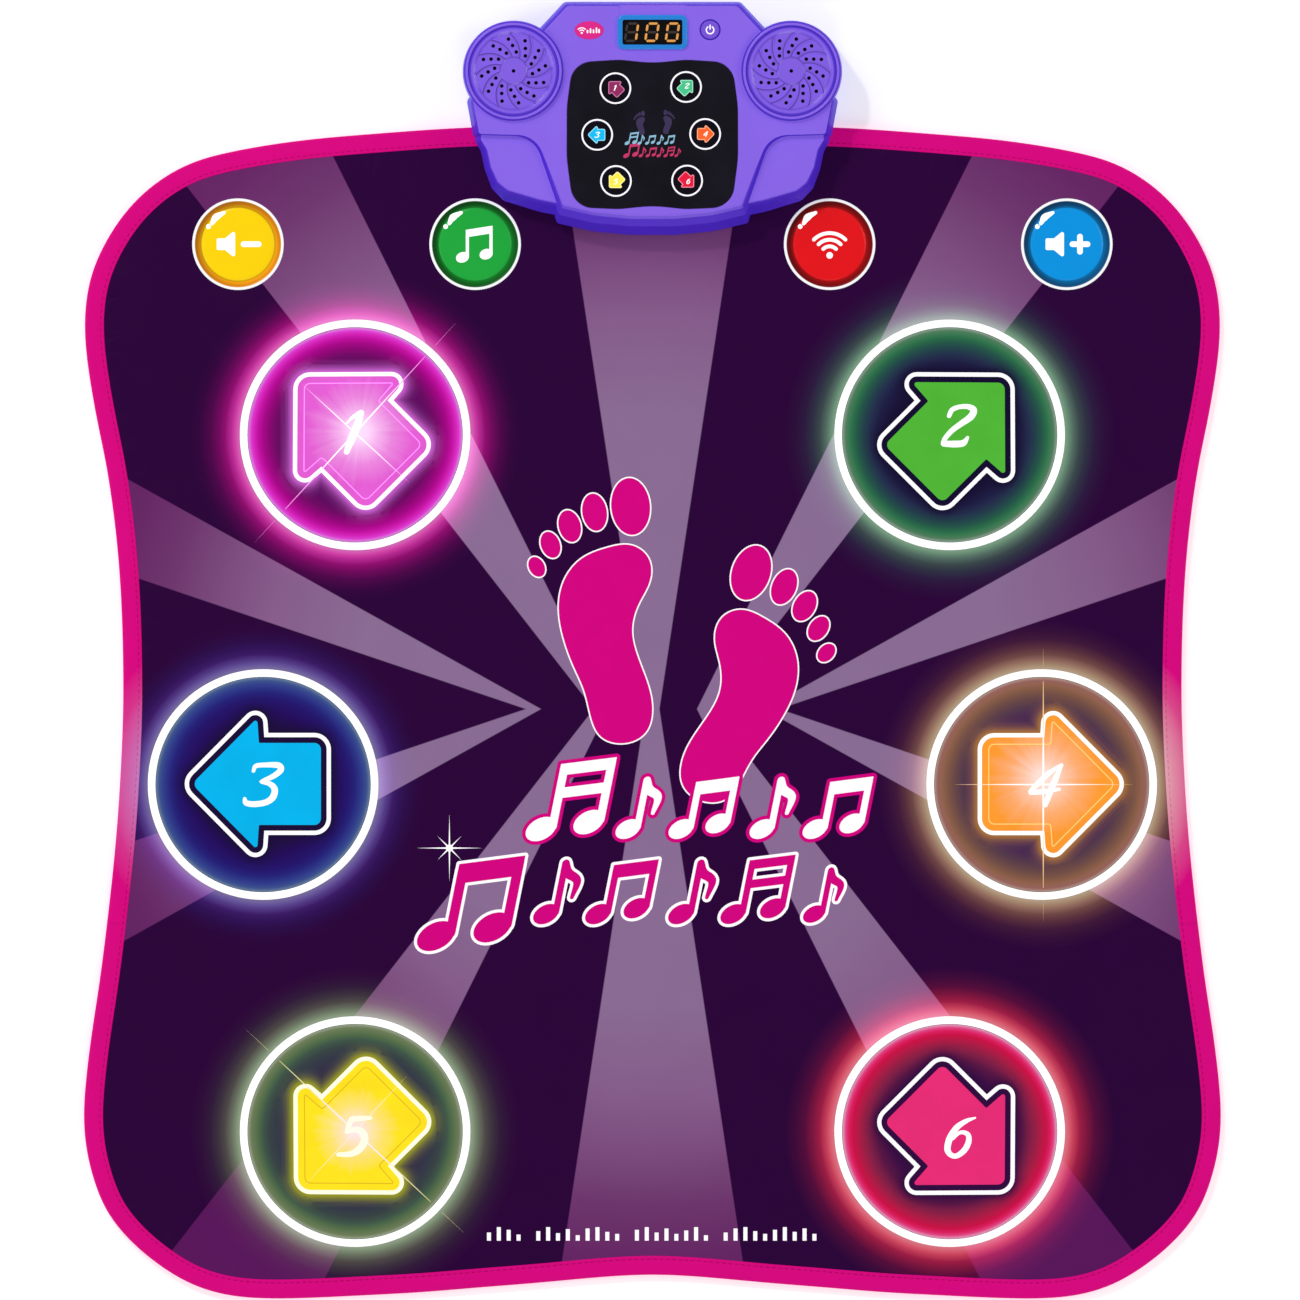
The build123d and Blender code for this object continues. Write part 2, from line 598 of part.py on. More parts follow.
VANE_START_R, VANE_REACH = 8.8, 19.6    # first radius, and radial length
VANE_SWEEP, VANE_BEND = 0.62, 1.15      # total turn (rad), exponent of the turn along the vane
VANE_POINTS = 5
VANE_WIDTH, VANE_HEIGHT, Z_VANE = 0.8, 1.15, 37.0
GRILLE_HOLES = [(14.0, 0.12), (18.6, 0.30), (23.6, 0.42)]   # (radius, turn in rad) per row
GRILLE_HOLE_R = 1.35


def around_pod(side, radius, angle):
    return (side * POD_X + radius * math.cos(angle), POD_Y + radius * math.sin(angle))


def grille(side, name):
    """Grille with curved vanes from the hub to the rim; the two sides turn opposite ways."""
    with BuildPart() as made:
        with BuildSketch(pod_plane(side)):
            with BuildLine():
                Polyline(*GRILLE_PROFILE, close=True)
            make_face()
        revolve(axis=pod_axis(side))
        for k in range(VANES):
            start = 2 * math.pi * k / VANES
            path = []
            for j in range(VANE_POINTS):
                share = j / (VANE_POINTS - 1)
                angle = start - side * VANE_SWEEP * share ** VANE_BEND
                path.append(around_pod(side, VANE_START_R + share * VANE_REACH, angle))
            with BuildSketch(Plane.XY.offset(Z_VANE)):
                with BuildLine():
                    Spline(*path)
                trace(line_width=VANE_WIDTH)
            extrude(amount=VANE_HEIGHT)
        # one hole in the hub and three rows between the vanes
        spots = [(side * POD_X, POD_Y)]
        for k in range(VANES):
            start = 2 * math.pi * (k + 0.5) / VANES
            for radius, turn in GRILLE_HOLES:
                spots.append(around_pod(side, radius, start - side * turn))
        with BuildSketch(Plane.XY.offset(34)):
            with Locations(*spots):
                Circle(GRILLE_HOLE_R)
        extrude(amount=CUT_HEIGHT, mode=Mode.SUBTRACT)
    save(made, name)


def turned(side, name, profile):
    """Piece revolved round a speaker axis."""
    with BuildPart() as made:
        with BuildSketch(pod_plane(side)):
            with BuildLine():
                Polyline(*profile, close=True)
            make_face()
        revolve(axis=pod_axis(side))
    save(made, name)


for side, hand in ((-1, "left"), (1, "right")):
    grille(side, "speaker_grille_" + hand)
    turned(side, "speaker_driver_" + hand, DRIVER_PROFILE)
    turned(side, "speaker_cone_" + hand, CONE_PROFILE)

# ---------------------------------------------------------------- display and power button
WINDOW_W, WINDOW_D = 43.8, 18.3
Z_MODULE, MODULE_PLATE = 25.8, 1.6
Z_MODULE_TOP = Z_MODULE + MODULE_PLATE
SWITCH_HEIGHT = 3.4

# bezel: filleted rim on the deck, sleeve below it, window through both
with BuildPart() as bezel:
    with BuildSketch(Plane.XY.offset(Z_DECK + 0.05)):
        with Locations((0, DISPLAY_Y)):
            RectangleRounded(51.3, 25.3, 5.0)
    extrude(amount=2.0)
    fillet(bezel.edges().group_by(Axis.Z)[-1], 0.9)
    with BuildSketch(Plane.XY.offset(32.6)):
        with Locations((0, DISPLAY_Y)):
            RectangleRounded(46.6, 21.1, 2.8)
    extrude(amount=4.0)
    with BuildSketch(Plane.XY.offset(32.0)):
        with Locations((0, DISPLAY_Y)):
            RectangleRounded(WINDOW_W, WINDOW_D, 1.6)
    extrude(amount=CUT_HEIGHT, mode=Mode.SUBTRACT)
save(bezel, "display_bezel")

with BuildPart() as lens:
    with BuildSketch(Plane.XY.offset(Z_DECK)):
        with Locations((0, DISPLAY_Y)):
            RectangleRounded(WINDOW_W - 0.2, WINDOW_D - 0.2, 1.5)
    extrude(amount=1.0)
save(lens, "display_lens")

# display block on a wide plate
with BuildPart() as module:
    with BuildSketch(Plane.XY.offset(Z_MODULE)):
        with Locations((0, 450.6)):
            Rectangle(100, 23)
    extrude(amount=MODULE_PLATE)
    with BuildSketch(Plane.XY.offset(Z_MODULE_TOP)):
        with Locations((0, DISPLAY_Y)):
            RectangleRounded(43.0, 17.6, 1.5)
    extrude(amount=8.5)
save(module, "display_module")

with BuildPart() as switch:
    with BuildSketch(Plane.XY.offset(Z_MODULE_TOP)):
        with Locations((POWER_X, POWER_Y)):
            Rectangle(6, 6)
    extrude(amount=SWITCH_HEIGHT)
    with BuildSketch(Plane.XY.offset(Z_MODULE_TOP + SWITCH_HEIGHT)):
        with Locations((POWER_X, POWER_Y)):
            Circle(1.7)
    extrude(amount=0.9)
save(switch, "power_switch")

with BuildPart() as power:
    with BuildSketch(Plane.XY.offset(Z_LENS)):
        with Locations((POWER_X, POWER_Y)):
            Circle(POWER_R)
    extrude(amount=3.7)
    fillet(power.edges().group_by(Axis.Z)[-1], 0.6)
save(power, "power_button")

with BuildPart() as badge:
    with BuildSketch(Plane.XY.offset(Z_DECK + 0.02)):
        with Locations((-46.3, 453.6)):
            Ellipse(10.6, 6.6)
    extrude(amount=0.45)
    chamfer(badge.edges().group_by(Axis.Z)[-1], 0.2)
save(badge, "wireless_badge")

# ---------------------------------------------------------------- overlay, indicators, board
GUIDE_BORE_R = LENS_R - 1.2
BOARD_Y = 377.5
Z_BOARD, BOARD_THICK = 24.0, 1.6
CHIP_HEIGHT = 1.6
Z_LED, LED_HEIGHT = 25.65, 1.4

with BuildPart() as overlay:
    with BuildSketch(Plane.XY.offset(Z_DECK - OVERLAY_DEPTH)):
        with BuildLine():
            rounded_loop(overlay_loop(0))
        make_face()
        with Locations(*INDICATORS):
            Circle(LENS_R + 0.15, mode=Mode.SUBTRACT)
    extrude(amount=0.9)
save(overlay, "control_overlay")

with BuildPart() as lenses:
    with BuildSketch(Plane.XY.offset(Z_LENS)):
        with Locations(*INDICATORS):
            Circle(LENS_R)
    extrude(amount=Z_DECK + 0.1 - Z_LENS)
save(lenses, "indicator_lenses")

# six tubes above the circuit board, joined by a thin web
with BuildPart() as guide:
    with BuildSketch(Plane.XY.offset(29.6)):
        with Locations((0, BOARD_Y)):
            RectangleRounded(104, 92, 6)
        with Locations(*INDICATORS):
            Circle(GUIDE_BORE_R, mode=Mode.SUBTRACT)
    extrude(amount=1.2)
    with BuildSketch(Plane.XY.offset(25.8)):
        with Locations(*INDICATORS):
            Circle(LENS_R)
        with Locations(*INDICATORS):
            Circle(GUIDE_BORE_R, mode=Mode.SUBTRACT)
    extrude(amount=7.0)
save(guide, "light_guide_frame")

with BuildPart() as leds:
    for x, y in INDICATORS:
        with BuildSketch(Plane.XY.offset(Z_LED)):
            with Locations((x, y)):
                Rectangle(5, 5)
        extrude(amount=LED_HEIGHT)
        with BuildSketch(Plane.XY.offset(Z_LED + LED_HEIGHT)):
            with Locations((x, y)):
                Circle(1.8)
        extrude(amount=0.6)
save(leds, "indicator_leds")

with BuildPart() as board:
    with BuildSketch(Plane.XY.offset(Z_BOARD)):
        with Locations((0, BOARD_Y)):
            RectangleRounded(116, 96, 2)
        with Locations(*[(x, y) for x, y in SCREWS_FRONT if abs(x) < SCREW_WING_X]):
            Circle(4.4, mode=Mode.SUBTRACT)
    extrude(amount=BOARD_THICK)
    # two components on the underside
    with BuildSketch(Plane.XY.offset(Z_BOARD - CHIP_HEIGHT)):
        with Locations((20, 372)):
            Rectangle(14, 14)
        with Locations((-24, 384)):
            Rectangle(8, 10)
    extrude(amount=CHIP_HEIGHT)
save(board, "main_circuit_board")

# ---------------------------------------------------------------- battery bay
DOOR_GAP = 0.4
Z_DOOR = Z_REAR_FLOOR + 0.1
CELL_R, CELL_L, CELL_Z, CELL_PITCH = 7.1, 50.5, 11.2, 14.8
CELL_X = [CELL_PITCH * (k - 1.5) for k in range(4)]
CELL_END = 0.6          # the cell body stops this far short of the half length at each end
CELL_TIP_R, CELL_TIP = 2.7, 1.1
CONTACT_INSET = 1.2

with BuildPart() as door:
    with BuildSketch(Plane.XY.offset(Z_DOOR)):
        with Locations((0, BAY_MID_Y)):
            Rectangle(2 * (BAY_X - DOOR_GAP), BAY_DEPTH - 2 * DOOR_GAP)
    extrude(amount=1.6)
    # three grooves in the underside, near the rear edge
    with BuildSketch(Plane.XY.offset(Z_DOOR)):
        with Locations(*[(0, BAY_Y1 - inset) for inset in (6, 9, 12)]):
            Rectangle(24, 1.2)
    extrude(amount=0.6, mode=Mode.SUBTRACT)
save(door, "battery_door")

# four cells along y, their tips pointing alternately to the front and to the rear
with BuildPart() as cells:
    for k, x in enumerate(CELL_X):
        flip = 1 if k % 2 else -1
        with BuildSketch(plane_at_y(BAY_MID_Y - CELL_L / 2 + CELL_END)):
            with Locations((x, CELL_Z)):
                Circle(CELL_R)
        extrude(amount=-(CELL_L - 2 * CELL_END))
        with BuildSketch(plane_at_y(BAY_MID_Y + flip * (CELL_L / 2 - CELL_END))):
            with Locations((x, CELL_Z)):
                Circle(CELL_TIP_R)
        extrude(amount=-flip * CELL_TIP)
save(cells, "aa_batteries")

with BuildPart() as contacts:
    for x in CELL_X:
        for y in (BAY_Y0 + CONTACT_INSET, BAY_Y1 - CONTACT_INSET):
            with BuildSketch(Plane.XY.offset(5.0)):
                with Locations((x, y)):
                    Rectangle(10, 0.6)
            extrude(amount=12.0)
save(contacts, "battery_contacts")

# ---------------------------------------------------------------- sockets
# jack: body, round nose to the rear, blind bore from the rear
with BuildPart() as jack:
    with BuildSketch(Plane.XY.offset(Z_REAR_FLOOR + WALL + 0.1)):
        with Locations((JACK_X, 464.4)):
            Rectangle(12, 14)
    extrude(amount=8.4)
    with BuildSketch(plane_at_y(471.4)):
        with Locations((JACK_X, SOCKET_Z)):
            Circle(3.75)
    extrude(amount=-3.2)
    with BuildSketch(plane_at_y(462.6)):
        with Locations((JACK_X, SOCKET_Z)):
            Circle(1.85)
    extrude(amount=-20, mode=Mode.SUBTRACT)
save(jack, "audio_jack")

# port: shell, opening from the rear, flat tongue inside
with BuildPart() as port:
    with BuildSketch(plane_at_y(463.5)):
        with Locations((PORT_X, SOCKET_Z)):
            RectangleRounded(9.8, 4.2, 1.1)
    extrude(amount=-11.0)
    with BuildSketch(plane_at_y(466.0)):
        with Locations((PORT_X, SOCKET_Z)):
            RectangleRounded(8.6, 3.0, 0.8)
    extrude(amount=-12, mode=Mode.SUBTRACT)
    with BuildSketch(plane_at_y(465.5)):
        with Locations((PORT_X, SOCKET_Z)):
            Rectangle(6.4, 0.8)
    extrude(amount=-7.5)
save(port, "usb_power_port")

# ---------------------------------------------------------------- cables
RIBBON_WIDTH = 30.0
RIBBON_PROFILE = [      # L section (y, z): along the mat, then up into the console
    (314.0, 3.85), (340.4, 3.85), (340.4, 23.9), (340.0, 23.9), (340.0, 4.2), (314.0, 4.2),
]
WIRE_RUN = [(86.6, 423.8, 17.6), (80.0, 420.0, 19.4), (70.0, 414.0, 22.2), (54.0, 410.0, 23.1)]
WIRE_R = 0.7

with BuildPart() as ribbon:
    with BuildSketch(Plane.YZ.offset(-RIBBON_WIDTH / 2)):
        with BuildLine():
            Polyline(*RIBBON_PROFILE, close=True)
        make_face()
    extrude(amount=RIBBON_WIDTH)
save(ribbon, "mat_ribbon_cable")

with BuildPart() as wires:
    for side in (-1, 1):
        points = [(side * x, y, z) for x, y, z in WIRE_RUN]
        with BuildLine() as run:
            Spline(*points, tangents=((-side, 0, 0), (-side, 0, 0)))
        with BuildSketch(Plane(origin=points[0], z_dir=(-side, 0, 0))):
            Circle(WIRE_R)
        sweep(path=run.line)
save(wires, "speaker_wires")

# ---------------------------------------------------------------- clamp plate, screws, feet
Z_SCREW_TIP = 26.0
SCREW_SETS = [(SCREWS_FRONT, 0.3), (SCREWS_REAR, 4.0)]      # (places, z of the head's underside)
CROSS_LENGTH, CROSS_WIDTH, CROSS_DEPTH = 3.4, 0.7, 0.5
FEET = [(-113.0, 430.0), (-52.0, 400.0), (52.0, 400.0), (113.0, 430.0)]
FOOT_R = 6.0

with BuildPart() as clamp:
    with BuildSketch(Plane.XY.offset(0.2)):
        with Locations((0, CLAMP_Y)):
            RectangleRounded(CLAMP_W, CLAMP_D, 6)
    extrude(amount=2.0)
    # screw holes and the long middle opening
    with BuildSketch(Plane.XY):
        with Locations(*SCREWS_FRONT):
            Circle(SHANK_HOLE_R)
        with Locations((0, 334)):
            RectangleRounded(120, 12, 4)
    extrude(amount=3, mode=Mode.SUBTRACT)
    with BuildSketch(Plane.XY):
        with Locations(*SCREWS_FRONT):
            Circle(HEAD_HOLE_R)
    extrude(amount=1.3, mode=Mode.SUBTRACT)
save(clamp, "mat_clamp_plate")

# screws driven from below: head, shank, cross recess
with BuildPart() as screws:
    for spots, head_z in SCREW_SETS:
        for x, y in spots:
            with BuildSketch(Plane.XY.offset(head_z)):
                with Locations((x, y)):
                    Circle(HEAD_R)
            extrude(amount=HEAD_HEIGHT)
            with BuildSketch(Plane.XY.offset(head_z + HEAD_HEIGHT)):
                with Locations((x, y)):
                    Circle(SHANK_R)
            extrude(amount=Z_SCREW_TIP - head_z - HEAD_HEIGHT)
            with BuildSketch(Plane.XY.offset(head_z)):
                with Locations((x, y)):
                    Rectangle(CROSS_LENGTH, CROSS_WIDTH)
                    Rectangle(CROSS_WIDTH, CROSS_LENGTH)
            extrude(amount=CROSS_DEPTH, mode=Mode.SUBTRACT)
save(screws, "console_screws")

with BuildPart() as feet:
    with BuildSketch(Plane.XY):
        with Locations(*FEET):
            Circle(FOOT_R)
    extrude(amount=Z_REAR_FLOOR)
    chamfer(feet.edges().group_by(Axis.Z)[0], 0.5)
save(feet, "rubber_feet")
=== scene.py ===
"""Folding dance mat with six lit step pads, four function buttons and a console.

Lengths are in mm unless a name says otherwise; meshes are scaled to metres when made.
The mat lies flat on z = 0. +X is the player's right, +Y runs to the console, +Z is up.
Two folds across X part it into an upper, a middle and a lower panel.
"""
import bpy, bmesh, math
import numpy as np
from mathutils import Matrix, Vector, geometry


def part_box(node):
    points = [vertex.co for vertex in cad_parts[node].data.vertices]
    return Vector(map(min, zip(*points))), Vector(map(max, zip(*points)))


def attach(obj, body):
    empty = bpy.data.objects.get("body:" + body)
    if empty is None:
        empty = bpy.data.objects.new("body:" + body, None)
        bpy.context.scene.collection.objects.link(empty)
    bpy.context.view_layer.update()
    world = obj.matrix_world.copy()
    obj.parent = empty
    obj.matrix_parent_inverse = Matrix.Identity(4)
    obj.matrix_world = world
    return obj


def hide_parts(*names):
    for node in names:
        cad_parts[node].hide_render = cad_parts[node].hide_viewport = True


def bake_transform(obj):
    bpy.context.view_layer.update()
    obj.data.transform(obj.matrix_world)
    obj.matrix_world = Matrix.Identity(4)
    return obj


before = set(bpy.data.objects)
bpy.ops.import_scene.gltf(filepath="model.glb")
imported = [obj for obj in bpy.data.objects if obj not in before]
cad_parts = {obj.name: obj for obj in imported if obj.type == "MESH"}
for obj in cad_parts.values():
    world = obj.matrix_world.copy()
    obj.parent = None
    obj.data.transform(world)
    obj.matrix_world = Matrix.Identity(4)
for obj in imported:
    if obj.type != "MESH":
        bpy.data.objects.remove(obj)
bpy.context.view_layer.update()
scene = bpy.context.scene

# ---------------------------------------------------------------- layout
cover_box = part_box("top_cover_upper")
Z_TOP = round(cover_box[1].z * 1000, 3)      # top of the printed cover
Z_FILM = round(cover_box[0].z * 1000, 3)     # underside of the printed cover
Z_PAD = 5.40                                 # top of the step pads
Z_UNDER = 4.35                               # underside of pads, rings and buttons
Z_ART = Z_TOP + 0.035                        # clears the cover where both bend together
Z_OVERLAY = 36.105                           # prints on the console overlay

FOLD_ZONE = 16.0
FOLD_CUT = 0.4                               # pitch of the edges added across a fold
FOLDS = {  # fold: (y where it starts, body above, body below)
    "upper": (31.6, "root", "mat_middle"),
    "lower": (-225.0, "mat_middle", "mat_lower"),
}
SPLIT_Y = -200.0     # where the two halves of each long sheet meet, in the flat middle panel
PANEL_BODY = {"upper": "root", "middle": "mat_middle", "lower": "mat_lower"}

PADS = {  # pad centres
    1: (-217.8476, 157.77825), 2: (217.8476, 157.77825),
    3: (-285.2836, -98.47855), 4: (285.2836, -98.47855),
    5: (-217.8476, -352.82955), 6: (217.8476, -352.82955),
}
PAD_PANEL = {1: "upper", 2: "upper", 3: "middle", 4: "middle", 5: "lower", 6: "lower"}
PAD_R = 78.55
PAD_HOLE_R = 84.6
RING_IN, RING_OUT = 78.9, 84.45

BUTTON_Y = 297.48805
BUTTON_R = 33.55
BUTTON_HOLE_R = 33.62
BUTTONS = {  # name: (x, body, slot, face colour, rim colour, icon size)
    "volume_down_button":
        (-303.69656, "key_volume_down", "button_yellow", "#f9d100", "#e08c0a", 1.12),
    "mode_button": (-129.90226, "key_mode", "button_green", "#1ca43a", "#055c16", 1.05),
    "wireless_button": (129.8876, "key_wireless", "button_red", "#e00f17", "#7c0005", 0.86),
    "volume_up_button":
        (303.6819, "key_volume_up", "button_blue", "#0090dd", "#024e7e", 1.12),
}

MAT_TOP, MAT_BOTTOM = (0.0, 384.2), (0.0, -457.8)
MAT_HALF = [  # (x, y) down the right half of the mat outline
    (67.7, 384.0), (127.8, 383.3), (168.8, 381.1), (209.9, 378.0), (250.9, 374.3),
    (283.2, 369.9), (312.5, 364.4), (334.5, 358.2), (360.9, 344.3), (384.3, 323.0),
    (399.7, 300.7), (410.7, 275.7), (415.5, 249.4), (415.6, 227.4), (412.2, 198.0),
    (406.3, 165.1), (400.8, 137.9), (395.8, 106.4), (392.0, 73.4), (389.4, 36.8),
    (388.0, -7.2), (388.0, -45.3), (389.7, -87.8), (392.4, -128.9), (396.0, -167.0),
    (400.8, -208.8), (405.6, -245.4), (411.1, -282.1), (415.1, -315.1), (416.6, -340.7),
    (415.1, -362.7), (409.2, -388.4), (400.4, -409.6), (384.3, -430.9), (362.3, -449.9),
    (337.4, -464.6), (312.5, -472.3), (283.2, -475.1), (250.9, -474.7), (209.9, -472.8),
    (168.8, -470.5), (127.8, -467.2), (86.7, -463.9), (45.7, -460.2),
]


# ---------------------------------------------------------------- 2-D loops
def spline_closed(points, step):
    """Periodic cubic through the points, resampled about every step."""
    pts = np.array(points, float)
    count = len(pts)
    gap = np.linalg.norm(np.roll(pts, -1, 0) - pts, axis=1)
    lhs, rhs = np.zeros((count, count)), np.zeros((count, 2))
    for i in range(count):
        j = (i + 1) % count
        before, after = gap[i - 1], gap[i]
        lhs[i, i - 1] += before
        lhs[i, i] += 2 * (before + after)
        lhs[i, j] += after
        rhs[i] = 6 * ((pts[j] - pts[i]) / after - (pts[i] - pts[i - 1]) / before)
    bend = np.linalg.solve(lhs, rhs)
    out = []
    for i in range(count):
        j = (i + 1) % count
        span = gap[i]
        parts = max(1, int(round(span / step)))
        for k in range(parts):
            done = span * k / parts
            left = span - done
            out.append((bend[i] * left ** 3 + bend[j] * done ** 3) / (6 * span)
                       + (pts[i] / span - bend[i] * span / 6) * left
                       + (pts[j] / span - bend[j] * span / 6) * done)
    return np.array(out)


def catmull(points, steps):
    """Open smooth curve through the points."""
    pts = np.array(points, float)
    ext = np.vstack([2 * pts[0] - pts[1], pts, 2 * pts[-1] - pts[-2]])
    out = []
    for i in range(1, len(ext) - 2):
        a, b, c, d = ext[i - 1:i + 3]
        for k in range(steps):
            t = k / steps
            out.append(0.5 * ((2 * b) + (-a + c) * t + (2 * a - 5 * b + 4 * c - d) * t * t
                              + (-a + 3 * b - 3 * c + d) * t ** 3))
    out.append(pts[-1])
    return np.array(out)


def area(loop):
    x, y = np.array(loop)[:, 0], np.array(loop)[:, 1]
    return 0.5 * float(np.sum(x * np.roll(y, -1) - np.roll(x, -1) * y))


def ccw(loop):
    loop = np.array(loop, float)
    return loop if area(loop) > 0 else loop[::-1]


def normals_out(loop):
    along = np.roll(loop, -1, 0) - np.roll(loop, 1, 0)
    along /= np.linalg.norm(along, axis=1)[:, None]
    return np.stack([along[:, 1], -along[:, 0]], 1)


def offset_round(loop, dist, seg=7):
    """Offsets a loop outward, with arcs at convex corners and miters at concave ones."""
    pts = ccw(loop)
    out = []
    for i in range(len(pts)):
        corner = pts[i]
        edge1, edge2 = corner - pts[i - 1], pts[(i + 1) % len(pts)] - corner
        len1, len2 = np.linalg.norm(edge1), np.linalg.norm(edge2)
        if len1 < 1e-9 or len2 < 1e-9:
            continue
        edge1, edge2 = edge1 / len1, edge2 / len2
        norm1, norm2 = np.array([edge1[1], -edge1[0]]), np.array([edge2[1], -edge2[0]])
        turn = edge1[0] * edge2[1] - edge1[1] * edge2[0]
        dot = float(np.clip(norm1 @ norm2, -1, 1))
        if turn > 1e-6 and dist > 0:
            angle = math.acos(dot)
            parts = max(1, int(math.ceil(angle / (math.pi / 2) * seg)))
            start = math.atan2(norm1[1], norm1[0])
            for k in range(parts + 1):
                t = start + angle * k / parts
                out.append(corner + dist * np.array([math.cos(t), math.sin(t)]))
        else:
            out.append(corner + (norm1 + norm2) * dist / max(0.25, 1 + dot))
    return np.array(out)


def clean_offset(loop, dist, step=0.4398, slack=0.02199, flat=0.000537289):
    """Offset of a counter-clockwise loop, with what folds back over itself trimmed away.

    slack is how much nearer than dist a kept point may lie; corners whose cross product
    is below flat are dropped as straight.
    """
    raw = offset_round(loop, dist, 8)
    pts = []
    for i in range(len(raw)):
        start, end = raw[i], raw[(i + 1) % len(raw)]
        parts = max(1, int(math.ceil(np.linalg.norm(end - start) / step)))
        pts += [start + (end - start) * j / parts for j in range(parts)]
    pts = np.array(pts)
    nearest = np.full(len(pts), 1e9)
    for start, end in zip(loop, np.roll(loop, -1, 0)):
        edge = end - start
        t = np.clip(((pts - start) @ edge) / max(1e-12, edge @ edge), 0, 1)
        away = np.linalg.norm(pts - (start + t[:, None] * edge), axis=1)
        nearest = np.minimum(nearest, away)
    pts = pts[(nearest > abs(dist) - slack) & (inside(pts, loop) == (dist < 0))]
    out = []
    for i in range(len(pts)):
        come, go = pts[i] - pts[i - 1], pts[(i + 1) % len(pts)] - pts[i]
        if abs(come[0] * go[1] - come[1] * go[0]) > flat:
            out.append(pts[i])
    return np.array(out)


def round_corners(loop, radii, seg=6):
    pts = np.array(loop, float)
    out = []
    for i, radius in enumerate(radii):
        corner = pts[i]
        back, ahead = pts[i - 1] - corner, pts[(i + 1) % len(pts)] - corner
        len_back, len_ahead = np.linalg.norm(back), np.linalg.norm(ahead)
        back, ahead = back / len_back, ahead / len_ahead
        half = math.acos(float(np.clip(back @ ahead, -1, 1))) / 2
        reach = min(radius / math.tan(half), 0.48 * len_back, 0.48 * len_ahead)
        radius = reach * math.tan(half)
        middle = (back + ahead) / np.linalg.norm(back + ahead)
        centre = corner + middle * radius / math.sin(half)
        first, last = corner + back * reach - centre, corner + ahead * reach - centre
        start = math.atan2(first[1], first[0])
        sweep = math.atan2(last[1], last[0]) - start
        sweep = (sweep + math.pi) % (2 * math.pi) - math.pi
        for k in range(seg + 1):
            t = start + sweep * k / seg
            out.append(centre + radius * np.array([math.cos(t), math.sin(t)]))
    return np.array(out)


def ellipse(cx, cy, rx, ry, rot=0.0, count=40):
    t = np.linspace(0, 2 * math.pi, count, endpoint=False)
    c, s = math.cos(rot), math.sin(rot)
    x, y = rx * np.cos(t), ry * np.sin(t)
    return np.stack([cx + x * c - y * s, cy + x * s + y * c], 1)


def circle(cx, cy, radius, count):
    return ellipse(cx, cy, radius, radius, 0, count)


def capsule(x0, y0, x1, y1, r0, r1=None, seg=8):
    """Loop of a capsule that tapers from radius r0 to r1."""
    r1 = r0 if r1 is None else r1
    axis = np.array([x1 - x0, y1 - y0], float)
    heading = math.atan2(axis[1], axis[0])
    lean = math.acos(float(np.clip((r0 - r1) / np.linalg.norm(axis), -1, 1)))
    out = []
    for k in range(seg + 1):
        t = heading + lean + (2 * math.pi - 2 * lean) * k / seg
        out.append((x0 + r0 * math.cos(t), y0 + r0 * math.sin(t)))
    for k in range(seg + 1):
        t = heading - lean + 2 * lean * k / seg
        out.append((x1 + r1 * math.cos(t), y1 + r1 * math.sin(t)))
    return np.array(out)


def brush(points, radii, steps=6):
    """Overlapping capsules along a smooth path; radii belong to the control points."""
    path = catmull(points, steps)
    radius = np.interp(np.linspace(0, 1, len(path)), np.linspace(0, 1, len(radii)), radii)
    return [capsule(*path[i], *path[i + 1], radius[i], radius[i + 1], 6)
            for i in range(len(path) - 1)]


def arc_band(cx, cy, radius, half, deg0, deg1, count=28):
    """Band along an arc, 2 * half wide, with round ends."""
    def arc(x, y, r, angles):
        angles = np.radians(angles)
        return np.stack([x + r * np.cos(angles), y + r * np.sin(angles)], 1)

    def cap(deg, start):
        x = cx + radius * math.cos(math.radians(deg))
        y = cy + radius * math.sin(math.radians(deg))
        return arc(x, y, half, np.linspace(start, start + 180, 8)[1:-1])
    sweep = np.linspace(deg0, deg1, count)
    return np.vstack([arc(cx, cy, radius + half, sweep), cap(deg1, deg1),
                      arc(cx, cy, radius - half, sweep[::-1]), cap(deg0, deg0 + 180)])


def inside(pts, loop):
    """Even-odd test of many points against one loop."""
    x, y = pts[:, 0], pts[:, 1]
    ring = np.array(loop, float)
    result = np.zeros(len(pts), bool)
    lo, hi = ring.min(0), ring.max(0)
    near = np.where((x >= lo[0]) & (x <= hi[0]) & (y >= lo[1]) & (y <= hi[1]))[0]
    if not len(near):
        return result
    px, py = x[near], y[near]
    odd = np.zeros(len(near), bool)
    j = len(ring) - 1
    for i in range(len(ring)):
        (xi, yi), (xj, yj) = ring[i], ring[j]
        spans = (yi > py) != (yj > py)
        if spans.any():
            cross = (xj - xi) * (py - yi) / ((yj - yi) if yj != yi else 1e-12) + xi
            odd ^= spans & (px < cross)
        j = i
    result[near] = odd
    return result


